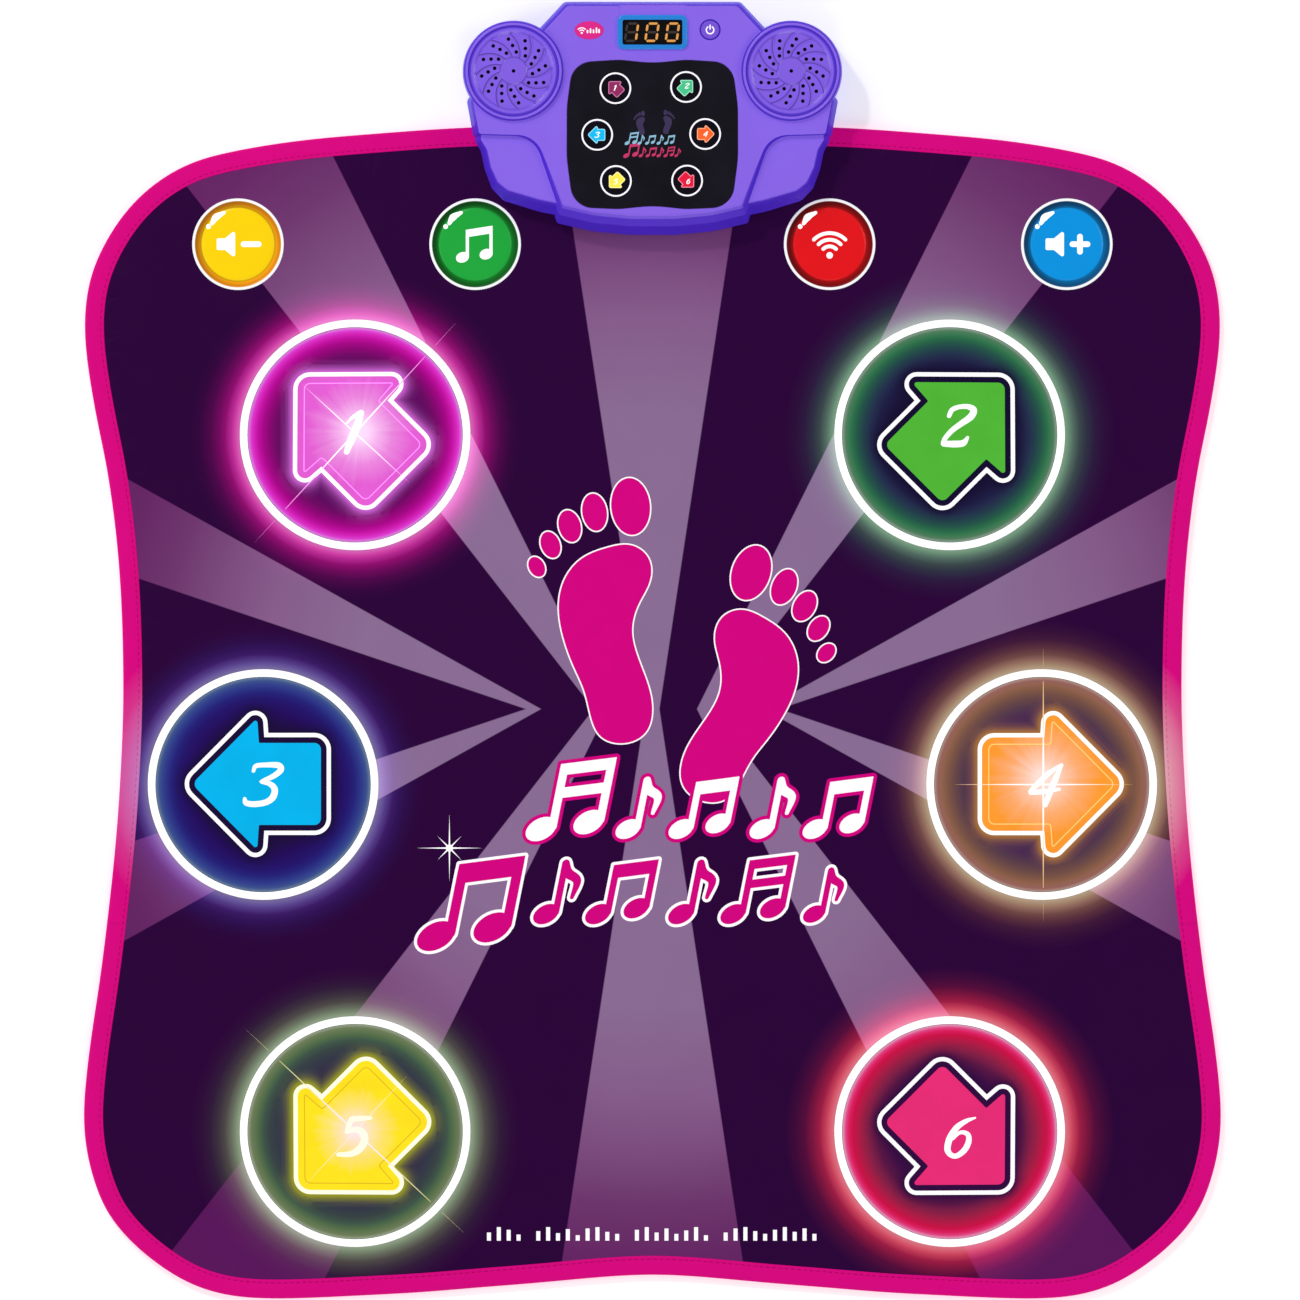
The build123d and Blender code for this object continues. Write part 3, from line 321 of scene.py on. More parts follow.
def triangulate(add, cut=(), shaping=(), points=()):
    """Triangles of union(add) minus union(cut); shaping and points only shape the mesh."""
    verts, edges = [], []
    for loop in [*add, *cut, *shaping]:
        base, count = len(verts), len(loop)
        verts.extend((float(x), float(y)) for x, y in loop)
        edges.extend((base + i, base + (i + 1) % count) for i in range(count))
    verts.extend((float(x), float(y)) for x, y in points)
    flat, _, tris, *_ = geometry.delaunay_2d_cdt([Vector(v) for v in verts], edges, [], 0, 1e-5)
    flat = np.array([(v[0], v[1]) for v in flat])
    tris = np.array([t for t in tris if len(t) == 3], int)
    middle = flat[tris].mean(1)
    keep = np.zeros(len(tris), bool)
    for loop in add:
        keep |= inside(middle, loop)
    for loop in cut:
        keep &= ~inside(middle, loop)
    a, b, c = (flat[tris[:, i]] for i in range(3))
    size = (b[:, 0] - a[:, 0]) * (c[:, 1] - a[:, 1]) - (b[:, 1] - a[:, 1]) * (c[:, 0] - a[:, 0])
    keep &= np.abs(size) > 1e-7
    tris, size = tris[keep], size[keep]
    tris[size < 0] = tris[size < 0][:, ::-1]
    used = np.unique(tris)
    remap = -np.ones(len(flat), int)
    remap[used] = np.arange(len(used))
    return flat[used], remap[tris]


# ---------------------------------------------------------------- meshes
def store_rest(ob):
    """Keeps the unfolded shape as an attribute, which the prints are mapped by."""
    mesh = ob.data
    co = np.zeros(len(mesh.vertices) * 3, np.float32)
    mesh.vertices.foreach_get("co", co)
    rest = mesh.attributes.get("rest") or mesh.attributes.new("rest", "FLOAT_VECTOR", "POINT")
    rest.data.foreach_set("vector", co)


def make_object(name, verts, faces, material, smooth=False):
    mesh = bpy.data.meshes.new(name)
    mesh.from_pydata([tuple(float(c) * 0.001 for c in v) for v in verts], [],
                     [tuple(int(i) for i in f) for f in faces])
    mesh.materials.append(material)
    mesh.polygons.foreach_set("use_smooth", np.full(len(mesh.polygons), smooth))
    mesh.update()
    ob = bpy.data.objects.new(name, mesh)
    scene.collection.objects.link(ob)
    store_rest(ob)
    return ob


def prism(name, flat, tris, z0, z1, material):
    """Closed thin solid over a flat triangulation; z1 is a number or one per vertex."""
    count = len(flat)
    verts = np.vstack([np.column_stack([flat, np.broadcast_to(z, (count,))])
                       for z in (z1, z0)])
    faces = [tuple(t) for t in tris] + [tuple(t[::-1] + count) for t in tris]
    edges = np.vstack([tris[:, [0, 1]], tris[:, [1, 2]], tris[:, [2, 0]]])
    key = edges[:, 0].astype(np.int64) * count + edges[:, 1]
    twin = edges[:, 1].astype(np.int64) * count + edges[:, 0]
    border = edges[~np.isin(key, twin)]
    faces += [(int(a), int(a) + count, int(b) + count, int(b)) for a, b in border]
    return make_object(name, verts, faces, material)


def lathe(name, cx, cy, profile, material, seg):
    """Turned solid about (cx, cy) from (r, z) pairs; r = 0 is a single point."""
    verts, faces, rings = [], [], []
    for r, z in profile:
        count = seg if r > 1e-6 else 1
        rings.append(list(range(len(verts), len(verts) + count)))
        for i in range(count):
            t = 2 * math.pi * i / seg
            verts.append((cx + r * math.cos(t), cy + r * math.sin(t), z))
    for a, b in zip(rings, rings[1:]):
        for i in range(seg):
            j = (i + 1) % seg
            if len(a) == 1:
                faces.append((a[0], b[i], b[j]))
            elif len(b) == 1:
                faces.append((a[i], b[0], a[j]))
            else:
                faces.append((a[i], b[i], b[j], a[j]))
    return make_object(name, verts, faces, material, smooth=True)


def decal(name, loops, z, material, body, thick=0.08, cut=(), points=()):
    """Thin print in the shape of the loops, riding on a body."""
    flat, tris = triangulate(loops, cut, points=points)
    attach(prism(name, flat, tris, z, z + thick, material), body)


def bisect(bm, y, **options):
    return bmesh.ops.bisect_plane(bm, geom=bm.verts[:] + bm.edges[:] + bm.faces[:], dist=1e-7,
                                  plane_co=(0, y * 0.001, 0), plane_no=(0, 1, 0), **options)


def write_back(bm, ob):
    bm.to_mesh(ob.data)
    bm.free()
    ob.data.update()
    store_rest(ob)


def keep_side(ob, y, above):
    """Cuts a closed piece at y and caps it."""
    bm = bmesh.new()
    bm.from_mesh(ob.data)
    result = bisect(bm, y, clear_inner=above, clear_outer=not above)
    edges = [e for e in result["geom_cut"] if isinstance(e, bmesh.types.BMEdge)]
    bmesh.ops.holes_fill(bm, edges=edges, sides=0)
    write_back(bm, ob)


def blend(ob, fold, cut=True):
    """Bakes a piece's transform into its mesh; cut first adds edges across a fold's zone."""
    y, above, below = FOLDS[fold]
    if cut:
        bm = bmesh.new()
        bm.from_mesh(ob.data)
        for i in range(int(FOLD_ZONE / FOLD_CUT) + 1):
            bisect(bm, y - FOLD_CUT * i)
        write_back(bm, ob)
    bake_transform(ob)


def split_sheet(upper, upper_name, lower_name, cad_part):
    """Parts a full-length sheet in two, each half given edges across one fold's zone."""
    lower = upper.copy()
    lower.data = upper.data.copy()
    lower.name = lower_name
    scene.collection.objects.link(lower)
    upper.name = upper_name
    keep_side(upper, SPLIT_Y, True)
    keep_side(lower, SPLIT_Y, False)
    blend(upper, "upper")
    blend(lower, "lower")
    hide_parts(cad_part + "_upper", cad_part + "_middle")
    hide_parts(cad_part + "_lower")


# ---------------------------------------------------------------- shader shorthand
STEP = 0.733      # mm per step of the distances that the shaders reckon in


def lin(color):
    """Hex colour to linear light."""
    color = color.lstrip("#")
    parts = [int(color[i:i + 2], 16) / 255 for i in (0, 2, 4)]
    return tuple(x / 12.92 if x <= 0.04045 else ((x + 0.055) / 1.055) ** 2.4 for x in parts)


def times(color, factor, add=0.0):
    return tuple(min(1, c * factor + add) for c in color)


class Shader:
    """One material's node tree, with coords from the rest shape or the object."""
    SOCKETS = {
        "color": "Base Color", "rough": "Roughness", "metal": "Metallic",
        "spec": "Specular IOR Level", "emit": "Emission Color", "power": "Emission Strength",
        "coat_rough": "Coat Roughness", "alpha": "Alpha", "sheen": "Sheen Weight",
    }

    def __init__(self, name, source="rest"):
        self.material = bpy.data.materials.new(name)
        self.material.use_nodes = True
        self.tree = self.material.node_tree
        self.tree.nodes.clear()
        self.out = self.node("OutputMaterial")
        self.bsdf = self.node("BsdfPrincipled")
        self.link(self.bsdf.outputs[0], self.out.inputs[0])
        if source == "rest":
            self.coords = self.attribute("rest").outputs["Vector"]
        else:
            self.coords = self.node("TexCoord").outputs["Object"]

    def node(self, kind):
        return self.tree.nodes.new("ShaderNode" + kind)

    def link(self, start, end):
        self.tree.links.new(start, end)

    def attribute(self, name):
        node = self.node("Attribute")
        node.attribute_name = name
        return node

    def put(self, socket, value):
        if isinstance(value, bpy.types.NodeSocket):
            self.link(value, socket)
        elif isinstance(value, tuple) and socket.type == "RGBA":
            socket.default_value = (*value, 1.0)
        else:
            socket.default_value = value

    def set(self, **values):
        for key, value in values.items():
            self.put(self.bsdf.inputs[self.SOCKETS[key]], value)
        return self.material

    def op(self, kind, a, b=0.0, clamp=False):
        node = self.node("Math")
        node.operation = kind
        node.use_clamp = clamp
        self.put(node.inputs[0], a)
        self.put(node.inputs[1], b)
        return node.outputs[0]

    def mul(self, a, b, clamp=False):
        return self.op("MULTIPLY", a, b, clamp)

    def add(self, a, b):
        return self.op("ADD", a, b)

    def madd(self, a, factor, offset, clamp=False):
        out = self.op("MULTIPLY_ADD", a, factor, clamp)
        self.put(out.node.inputs[2], offset)
        return out

    def hypot(self, x, y):
        return self.op("SQRT", self.add(self.mul(x, x), self.mul(y, y)))

    def mix(self, factor, a, b, mode="MIX"):
        node = self.node("Mix")
        node.data_type = "RGBA"
        node.blend_type = mode
        self.put(node.inputs["Factor"], factor)
        self.put(node.inputs[6], a)
        self.put(node.inputs[7], b)
        return node.outputs[2]

    def sep(self, vector):
        node = self.node("SeparateXYZ")
        self.put(node.inputs[0], vector)
        return node.outputs

    def scaled(self, color, factor):
        node = self.node("VectorMath")
        node.operation = "SCALE"
        node.inputs[0].default_value = color
        self.put(node.inputs["Scale"], factor)
        return node.outputs[0]

    def noise(self, scale, detail, rough=0.55):
        node = self.node("TexNoise")
        self.put(node.inputs["Vector"], self.coords)
        node.inputs["Scale"].default_value = scale
        node.inputs["Detail"].default_value = detail
        node.inputs["Roughness"].default_value = rough
        return node.outputs[0]

    def vary(self, scale, detail, spread, low, rough=0.55):
        """A value that wanders with noise from low to low + spread."""
        return self.madd(self.noise(scale, detail, rough), spread, low)

    def voronoi(self, scale):
        node = self.node("TexVoronoi")
        self.put(node.inputs["Vector"], self.coords)
        node.inputs["Scale"].default_value = scale
        return node.outputs[0]

    def ramp(self, factor, stops):
        """Colour ramp; a stop is (position, colour or grey)."""
        node = self.node("ValToRGB")
        elements = node.color_ramp.elements
        for i, (position, color) in enumerate(stops):
            element = elements[i] if i < 2 else elements.new(position)
            element.position = position
            element.color = (*(color if isinstance(color, tuple) else (color,) * 3), 1.0)
        self.put(node.inputs[0], factor)
        return node.outputs[0]

    def mottle(self, noise, dark, light):
        return self.ramp(noise, [(0.3, dark), (0.7, light)])

    def bump(self, height, strength, distance):
        node = self.node("Bump")
        node.inputs["Strength"].default_value = strength
        node.inputs["Distance"].default_value = distance
        self.put(node.inputs["Height"], height)
        self.put(self.bsdf.inputs["Normal"], node.outputs[0])
        return node

    def dist(self, x, y):
        """Distance from (x, y), in steps."""
        place = self.sep(self.coords)
        return self.hypot(self.madd(place[0], 1000 / STEP, -x / STEP),
                          self.madd(place[1], 1000 / STEP, -y / STEP))

    def radius(self, x, y, span):
        """Distance from (x, y) as a share of span."""
        return self.mul(self.dist(x, y), STEP / span)

    def lattice(self, rate, width_x, width_y):
        """1 on two sets of crossing lines; widths are shares of a cell."""
        place = self.sep(self.coords)
        bands = [self.op("LESS_THAN", self.op("FRACT", self.mul(place[i], rate)), width)
                 for i, width in enumerate((width_x, width_y))]
        return self.op("MAXIMUM", *bands)


# ---------------------------------------------------------------- shared materials
PRINT_SPEC = 0.09
PRINT_GLOW = 0.35      # share of a print's colour given as light, the rest is lit by the studio


def printed(name, color, rough=0.42, glow=PRINT_GLOW, spec=PRINT_SPEC, source="rest"):
    """Printed vinyl: colour with faint mottling, fine embossed grain."""
    sh = Shader(name, source)
    base = lin(color) if isinstance(color, str) else color
    tone = sh.scaled(base, sh.vary(scale=60, detail=2, spread=0.10, low=0.95))
    sh.bump(sh.noise(scale=900, detail=2, rough=0.6), strength=0.12, distance=0.0004)
    return sh.set(color=tone, rough=sh.vary(scale=35, detail=3, spread=0.16, low=rough - 0.08),
                  spec=spec, emit=tone, power=glow)


def plastic(name, color, rough, spec=0.5, glow=0.0, bump=0.06):
    sh = Shader(name, "object")
    tone = sh.scaled(lin(color), sh.vary(scale=25, detail=4, spread=0.12, low=0.94))
    sh.bump(sh.noise(scale=1400, detail=3, rough=0.6), strength=bump, distance=0.0002)
    grain = sh.vary(scale=45, detail=4, rough=0.6, spread=0.14, low=rough - 0.07)
    sh.set(color=tone, rough=grain, spec=spec, coat_rough=0.15)
    if glow:
        sh.set(emit=tone, power=glow)
    return sh.material


# ---------------------------------------------------------------- materials of the mat
GROUND = lin("#290038")
HALO_SPAN = 146.6
HALO_RADII = (85.761, 87.96, 90.892, 95.29, 100.421, 106.285, 113.615, 120.945)
HALO = {  # painted glow of each light ring: colour round it at HALO_RADII, over the dark ground
    1: "d060b0 cf40a4 b52890 8e086e 6c0359 4c0149 34003c 2a0038",
    2: "75987f 62866f 506860 384648 2c2f43 2a183e 290939 290038",
    3: "726599 645399 533a85 3a1865 2d0e54 290645 29013b 290038",
    4: "b09880 a2856b 916a5e 6d4644 562d3c 3f1638 310838 290038",
    5: "8a9b82 77876e 656c5d 4c4746 3a303d 2f1839 2c0838 290038",
    6: "d87080 d8586c c43d58 9d1a44 7b123c 54073a 3b0438 290038",
}
INNER_SPAN = 87.96
INNER_RADII = (29.32, 43.98, 52.776, 58.64, 63.038, 67.436, 71.101, 74.033, 76.232, 78.8708)
INNER = {  # colour inside each ring at INNER_RADII
    1: "52045a 540459 5c045c 6c0461 860070 a10182 bc0a9c d020b4 d738ca d488d8",
    2: "140a32 160e36 1b1a42 222c4a 203e48 225246 286846 387750 4e785a 8aa08f",
    3: "1b0b3b 1e0843 210758 220d62 22136a 232076 2a3282 32418a 3c5188 6a7e9c",
    4: "33154c 3c1e50 4a2a4e 543949 634345 744f44 855b45 916150 93605a b09488",
    5: "25123f 2d1f44 333046 323a45 374242 3d5447 4e6946 60734f 6b7a58 9aa48c",
    6: "340843 3c0a44 581343 7b1c45 951c43 b11744 c70d45 d91c5c dc4080 dda0c0",
}
ARROW_COLOR = {1: "#e05cd0", 2: "#50b536", 3: "#03b3ec", 4: "#fd9a30", 5: "#fde01e", 6: "#e72c76"}
ARROW_TURN = {1: 135.0, 2: 45.0, 3: 180.0, 4: 0.0, 5: 225.0, 6: 315.0}
# The lit pads: core_at and core_span place the bright core, and each flare is
# (angle in degrees, half length, half width), crossing at flare_at from the pad centre.
LIT = {
    1: dict(glow="#c860cc", core="#ffdcfc", core_at=(3.2, 2.6), core_span=41.781,
            flare="#ff9af4", flare_at=(0.0, 1.466),
            flares=[(47.5, 109.95, 0.62305), (137.5, 54.242, 0.5131)]),
    4: dict(glow="#a87038", core="#ffdfd6", core_at=(1.4, 4.5), core_span=43.98,
            flare="#f8c890", flare_at=(1.1728, 0.0),
            flares=[(90, 101.154, 0.733), (0, 65.97, 0.62305)]),
    5: dict(glow="#9a9a20", core="#ffe2e2", core_at=(0.5, 0.5), core_span=32.985,
            flare="#e8e0a0", flare_at=(0.0, 0.2199),
            flares=[(137, 109.95, 0.5864), (47, 57.174, 0.25655)]),
}


def radial_stops(radii, colors, span, minus=(0.0, 0.0, 0.0)):
    return [(radius / span, tuple(max(0.0, a - b) for a, b in zip(lin(color), minus)))
            for radius, color in zip(radii, colors.split())]


def pad_centre_color(n):
    return lin(INNER[n].split()[0])


def cover_material():
    """Dark ground with pale beams from one point, and a halo round every pad, a painted glow of
    its light ring.
    """
    sh = Shader("printed_cover")
    beam_y = -43.13705           # the beams meet at x = 0 on this line
    place = sh.sep(sh.coords)
    across = sh.op("ABSOLUTE", sh.mul(place[0], 1000 / STEP))
    down = sh.madd(place[1], -1000 / STEP, beam_y / STEP)
    away = sh.op("ABSOLUTE", down)

    def line(run, slope, start):
        return sh.madd(run, slope, start / STEP)

    def over(a, b):
        """1 where a > b, with an edge one step soft."""
        return sh.madd(sh.op("SUBTRACT", a, b), 1.0, 0.5, clamp=True)
    vertical = over(line(away, slope=0.151, start=5.131), across)
    diagonal = sh.mul(over(across, line(away, slope=0.497, start=32.6918)),
                      over(line(away, slope=0.779, start=42.9538), across))
    level = sh.mul(over(line(across, slope=0.556, start=-81.6562 * 0.556), away),
                   over(away, line(across, slope=0.337, start=-92.6512 * 0.337)))
    level = sh.mul(level, over(across, 81.363 / STEP))
    # the vertical beams fade first, the diagonals last
    right = over(sh.mul(place[0], 1000), 0.0)
    reach = sh.hypot(across, away)
    lower = over(down, 0.0)
    slower = sh.madd(lower, sh.madd(right, -0.12, 0.34), -0.19)
    fade = sh.madd(diagonal, slower, 1.0)
    fade = sh.op("SUBTRACT", fade, sh.mul(sh.mul(level, right), 0.17))
    share = sh.mul(sh.mul(reach, fade), STEP / 586.4)
    beam = sh.ramp(share, [
        (0.0, lin("#896c94")), (0.37, lin("#886a92")), (0.49, lin("#845b89")),
        (0.55, lin("#7b4c7e")), (0.62, lin("#6c356c")), (0.68, lin("#652664")),
        (0.80, lin("#58145a"))])
    mask = sh.op("MAXIMUM", sh.op("MAXIMUM", vertical, diagonal), level)
    base = sh.mix(mask, GROUND, beam)
    total = None
    # painted light: each pad's ring glow is added over the ground
    for n, centre in PADS.items():
        halo = sh.ramp(sh.radius(*centre, HALO_SPAN),
                       radial_stops(HALO_RADII, HALO[n], HALO_SPAN, minus=GROUND))
        total = halo if total is None else sh.mix(1.0, total, halo, "ADD")
    color = sh.mix(1.0, base, total, "ADD")
    grain = sh.mottle(sh.noise(scale=22, detail=4, rough=0.6), 0.965, 1.0)
    color = sh.mix(1.0, color, grain, "MULTIPLY")
    relief = sh.add(sh.noise(scale=820, detail=2, rough=0.6),
                    sh.mul(sh.noise(scale=14, detail=2), 1.5))
    sh.bump(relief, strength=0.10, distance=0.0006)
    return sh.set(color=color, rough=sh.vary(scale=30, detail=3, spread=0.16, low=0.36),
                  spec=PRINT_SPEC, emit=color, power=PRINT_GLOW)


def finish_vinyl(sh, color, strength, low, power):
    sh.bump(sh.noise(scale=820, detail=2, rough=0.6), strength=strength, distance=0.0005)
    return sh.set(color=color, rough=sh.vary(scale=30, detail=3, spread=0.16, low=low),
                  spec=PRINT_SPEC, emit=color, power=power)


def pad_material(n):
    sh = Shader("pad_print_%d" % n)
    base = sh.ramp(sh.radius(*PADS[n], INNER_SPAN),
                   radial_stops(INNER_RADII, INNER[n], INNER_SPAN))
    glow = sh.attribute("glow").outputs["Fac"]
    if n in LIT:
        base = sh.mix(sh.op("POWER", glow, 1.3), base, lin(LIT[n]["glow"]))
    else:
        base = sh.mix(sh.mul(glow, 0.9), base, times(pad_centre_color(n), 0.8))
    return finish_vinyl(sh, base, strength=0.10, low=0.36, power=0.36)


def arrow_material(n):
    """Arrow colour; a lit pad has a bright core with uneven rays."""
    sh = Shader("arrow_print_%d" % n)
    base = lin(ARROW_COLOR[n])
    color = sh.mottle(sh.noise(scale=40, detail=3), times(base, 0.95), times(base, 1.03))
    if n in LIT:
        core_x, core_y = np.add(PADS[n], LIT[n]["core_at"]).tolist()
        away = sh.dist(core_x, core_y)
        place = sh.sep(sh.coords)
        angle = sh.op("ARCTAN2", sh.madd(place[1], 1000, -core_y),
                      sh.madd(place[0], 1000, -core_x))
        rays = sh.node("TexNoise")
        rays.noise_dimensions = "1D"
        rays.inputs["Scale"].default_value = 5.5
        rays.inputs["Detail"].default_value = 3
        sh.put(rays.inputs["W"], angle)
        away = sh.op("DIVIDE", away, sh.madd(rays.outputs[0], 0.42, 0.74))
        core = sh.ramp(sh.mul(away, STEP / LIT[n]["core_span"]),
                       [(0.0, 1.0), (0.14, 0.94), (0.35, 0.55), (0.62, 0.2), (1.0, 0.0)])
        color = sh.mix(core, color, lin(LIT[n]["core"]))
    return finish_vinyl(sh, color, strength=0.08, low=0.34, power=0.38 if n in LIT else 0.35)


def flare_material(n):
    sh = Shader("flare_%d" % n)
    near = lin("#ffe6ee") if n == 5 else (1, 1, 1)
    tint = lin(LIT[n]["flare"])
    far = tuple(a * 0.35 + b * 0.65 for a, b in zip(tint, lin("#4a1450")))
    color = sh.ramp(sh.radius(*PADS[n], span=124.61),
                    [(0.0, near), (0.18, near), (0.45, tint), (1.0, far)])
    sh.bump(sh.noise(scale=820, detail=2), strength=0.05, distance=0.0003)
    return sh.set(color=color, rough=0.4, spec=0.1, emit=color, power=0.42)


def woven(name, color, glow=0.34):
    """Binding tape: fine diagonal weave with a little fuzz, and a painted glow of light beside
    pads 3 and 4.
    """
    sh = Shader(name)
    place = sh.sep(sh.coords)
    threads = [sh.op("SINE", sh.mul(sh.op(kind, place[0], place[1]), 5200.0))
               for kind in ("ADD", "SUBTRACT")]
    weave = sh.mul(*threads)
    tone = sh.mul(sh.madd(weave, 0.035, 0.98),
                  sh.vary(scale=18, detail=3, spread=0.10, low=0.95))
    sh.bump(sh.add(weave, sh.noise(scale=1500, detail=2)), strength=0.22, distance=0.0003)
    color = sh.scaled(lin(color), tone)
    # painted light: the pads' glow reflected on the tape beside pads 3 and 4
    for n, tint in ((3, "#b8a8e8"), (4, "#f0e0d8")):
        near = sh.ramp(sh.radius(*PADS[n], HALO_SPAN),
                       [(0.585, 0.62), (0.66, 0.34), (0.76, 0.08), (0.86, 0.0)])
        color = sh.mix(near, color, lin(tint))
    return sh.set(color=color, rough=0.78, spec=0.10, sheen=0.03, emit=color, power=glow)


def light_ring_material():
    sh = Shader("light_ring")
    color = sh.mottle(sh.noise(scale=60, detail=2), (0.96, 0.98, 0.97), (1, 1, 1))
    return sh.set(color=color, rough=0.35, spec=0.3, emit=color, power=0.55)


def backing_material():
    sh = Shader("anti_slip_backing")
    dots = sh.op("SUBTRACT", 1.0, sh.mul(sh.voronoi(scale=260), 2.2, clamp=True))
    color = sh.mix(dots, lin("#1c1a20"), lin("#34323a"))
    sh.bump(dots, strength=0.7, distance=0.0006)
    return sh.set(color=color, rough=sh.vary(scale=40, detail=3, spread=0.15, low=0.72),
                  spec=0.25)


def button_material(name, x, y, face, rim):
    """Moulded button: face, groove darkened as painted shade, rim lightened toward lower right as
    a painted highlight, white border.
    """
    sh = Shader("button_" + name)
    share = sh.radius(x, y, span=36.65)
    slant = 31.519                # mm over which the painted highlight brightens the rim
    place = sh.sep(sh.coords)
    # painted highlight: the rim grows lighter toward the lower right
    toward = sh.add(sh.madd(place[0], 1000 / slant, -x / slant),
                    sh.madd(place[1], -1000 / slant, y / slant))
    rim_color = sh.scaled(lin(rim), sh.madd(toward, 0.22, 0.85))
    face_color = sh.scaled(lin(face), sh.vary(scale=50, detail=2, spread=0.06, low=0.97))
    on_rim = sh.ramp(share, [(0.0, 0.0), (0.72, 0.0), (0.745, 0.6), (0.775, 1.0)])
    color = sh.mix(on_rim, face_color, rim_color)
    # painted shade in the groove and on the rim's inner slope, with a painted highlight on the
    # lip between
    groove = sh.ramp(share, [(0.0, 1.0), (0.715, 1.0), (0.742, 0.62), (0.77, 1.15),
                             (0.80, 1.0), (0.83, 0.8), (0.86, 1.0)])
    color = sh.mix(1.0, color, groove, "MULTIPLY")
    border = sh.ramp(share, [(0.0, 0.0), (0.858, 0.0), (0.868, 1.0)])
    color = sh.mix(border, color, (0.96, 0.96, 0.97))
    sh.bump(sh.noise(scale=900, detail=2), strength=0.05, distance=0.0004)
    return sh.set(color=color, rough=sh.vary(scale=30, detail=3, spread=0.12, low=0.22),
                  spec=0.30, emit=color, power=0.36)


M_COVER = cover_material()
M_BINDING = woven("binding_tape", "#d8007f")
M_THREAD = woven("binding_thread", "#b8006c", glow=0.2)
M_RING = light_ring_material()
M_WHITE = printed("white_print", "#fdfbfd", glow=0.40)
M_PINK = printed("pink_print", "#d1007e")
M_DIGIT = printed("digit_print", "#ffffff", glow=0.46)
M_CREAM = printed("cream_print", "#fffbe0", glow=0.44)
M_BACKING = backing_material()

# ---------------------------------------------------------------- mat sheets
OUTLINE = ccw(spline_closed(
    [MAT_TOP] + MAT_HALF + [MAT_BOTTOM] + [(-x, y) for x, y in reversed(MAT_HALF)], 5.0))
OUTWARD = normals_out(OUTLINE)


def inset(distance):
    return OUTLINE - OUTWARD * distance


def rect(x0, y0, x1, y1, step):
    corners = [(x0, y0), (x1, y0), (x1, y1), (x0, y1)]
    pts = []
    for (ax, ay), (bx, by) in zip(corners, corners[1:] + corners[:1]):
        count = max(1, int(math.hypot(bx - ax, by - ay) / step))
        pts += [(ax + (bx - ax) * i / count, ay + (by - ay) * i / count) for i in range(count)]
    return np.array(pts)


def mat_grid(step, holes, margin):
    """Staggered points over the mat, clear of its edge and of the holes."""
    xs = np.arange(-430 + step / 2, 430, step)
    ys = np.arange(-490 + step / 2, 400, step)
    pts = np.array([(x + (step / 2 if j % 2 else 0), y) for j, y in enumerate(ys) for x in xs])
    pts = pts[inside(pts, inset(24))]
    for hole in holes:
        pts = pts[~inside(pts, offset_round(hole, margin))]
    return pts


def build_cover():
    """Printed cover, pulled down a little under the binding tape."""
    holes = [circle(*centre, PAD_HOLE_R, 144) for centre in PADS.values()]
    holes += [circle(row[0], BUTTON_Y, BUTTON_HOLE_R, 96) for row in BUTTONS.values()]
    field = inset(15.5)
    flat, tris = triangulate([inset(1.6)], holes, [field], mat_grid(14.0, holes, 6.0))
    top = np.where(inside(flat, field), Z_TOP, Z_TOP - 0.25)
    sheet = prism("printed_cover_top", flat, tris, Z_FILM + 0.05, top, M_COVER)
    split_sheet(sheet, "printed_cover_upper_half", "printed_cover_lower_half",
                "top_cover")


def build_backing():
    clamp_cut = rect(-112, 313, 112, 359, 12)
    flat, tris = triangulate([inset(14.4)], [clamp_cut], [], mat_grid(22.0, [clamp_cut], 5.0))
    sheet = prism("backing_a", flat, tris, 0.0, 1.0, M_BACKING)
    split_sheet(sheet, "backing_a", "backing_b", "anti_slip_backing")


BINDING_PROFILE = [  # (distance in from the mat edge, z) round the folded tape
    (14.0, 0.02), (9.0, 0.0), (3.0, 0.0), (1.6, 0.25), (0.55, 1.0), (0.08, 2.2),
    (0.0, 3.2), (0.15, 4.4), (0.7, 5.3), (1.8, 5.86), (3.4, 6.0), (7.5, 5.98),
    (10.4, 5.86), (11.4, 5.62), (12.3, 5.9), (13.4, 5.84), (14.0, 5.55), (14.0, 5.42),
    (10.0, 5.3), (1.6, 5.2), (1.1, 3.0), (1.6, 0.75), (10.0, 0.62), (14.0, 0.6),
]


def build_binding():
    """C section swept round the outline."""
    count, ring = len(OUTLINE), len(BINDING_PROFILE)
    verts = [(*(OUTLINE[i] - OUTWARD[i] * depth), z)
             for i in range(count) for depth, z in BINDING_PROFILE]
    faces = []
    for i in range(count):
        here, there = i * ring, ((i + 1) % count) * ring
        for j in range(ring):
            k = (j + 1) % ring
            faces.append((there + j, there + k, here + k, here + j))
    tape = make_object("edge_binding_a", verts, faces, M_BINDING, smooth=True)
    split_sheet(tape, "edge_binding_a", "edge_binding_b", "edge_binding")


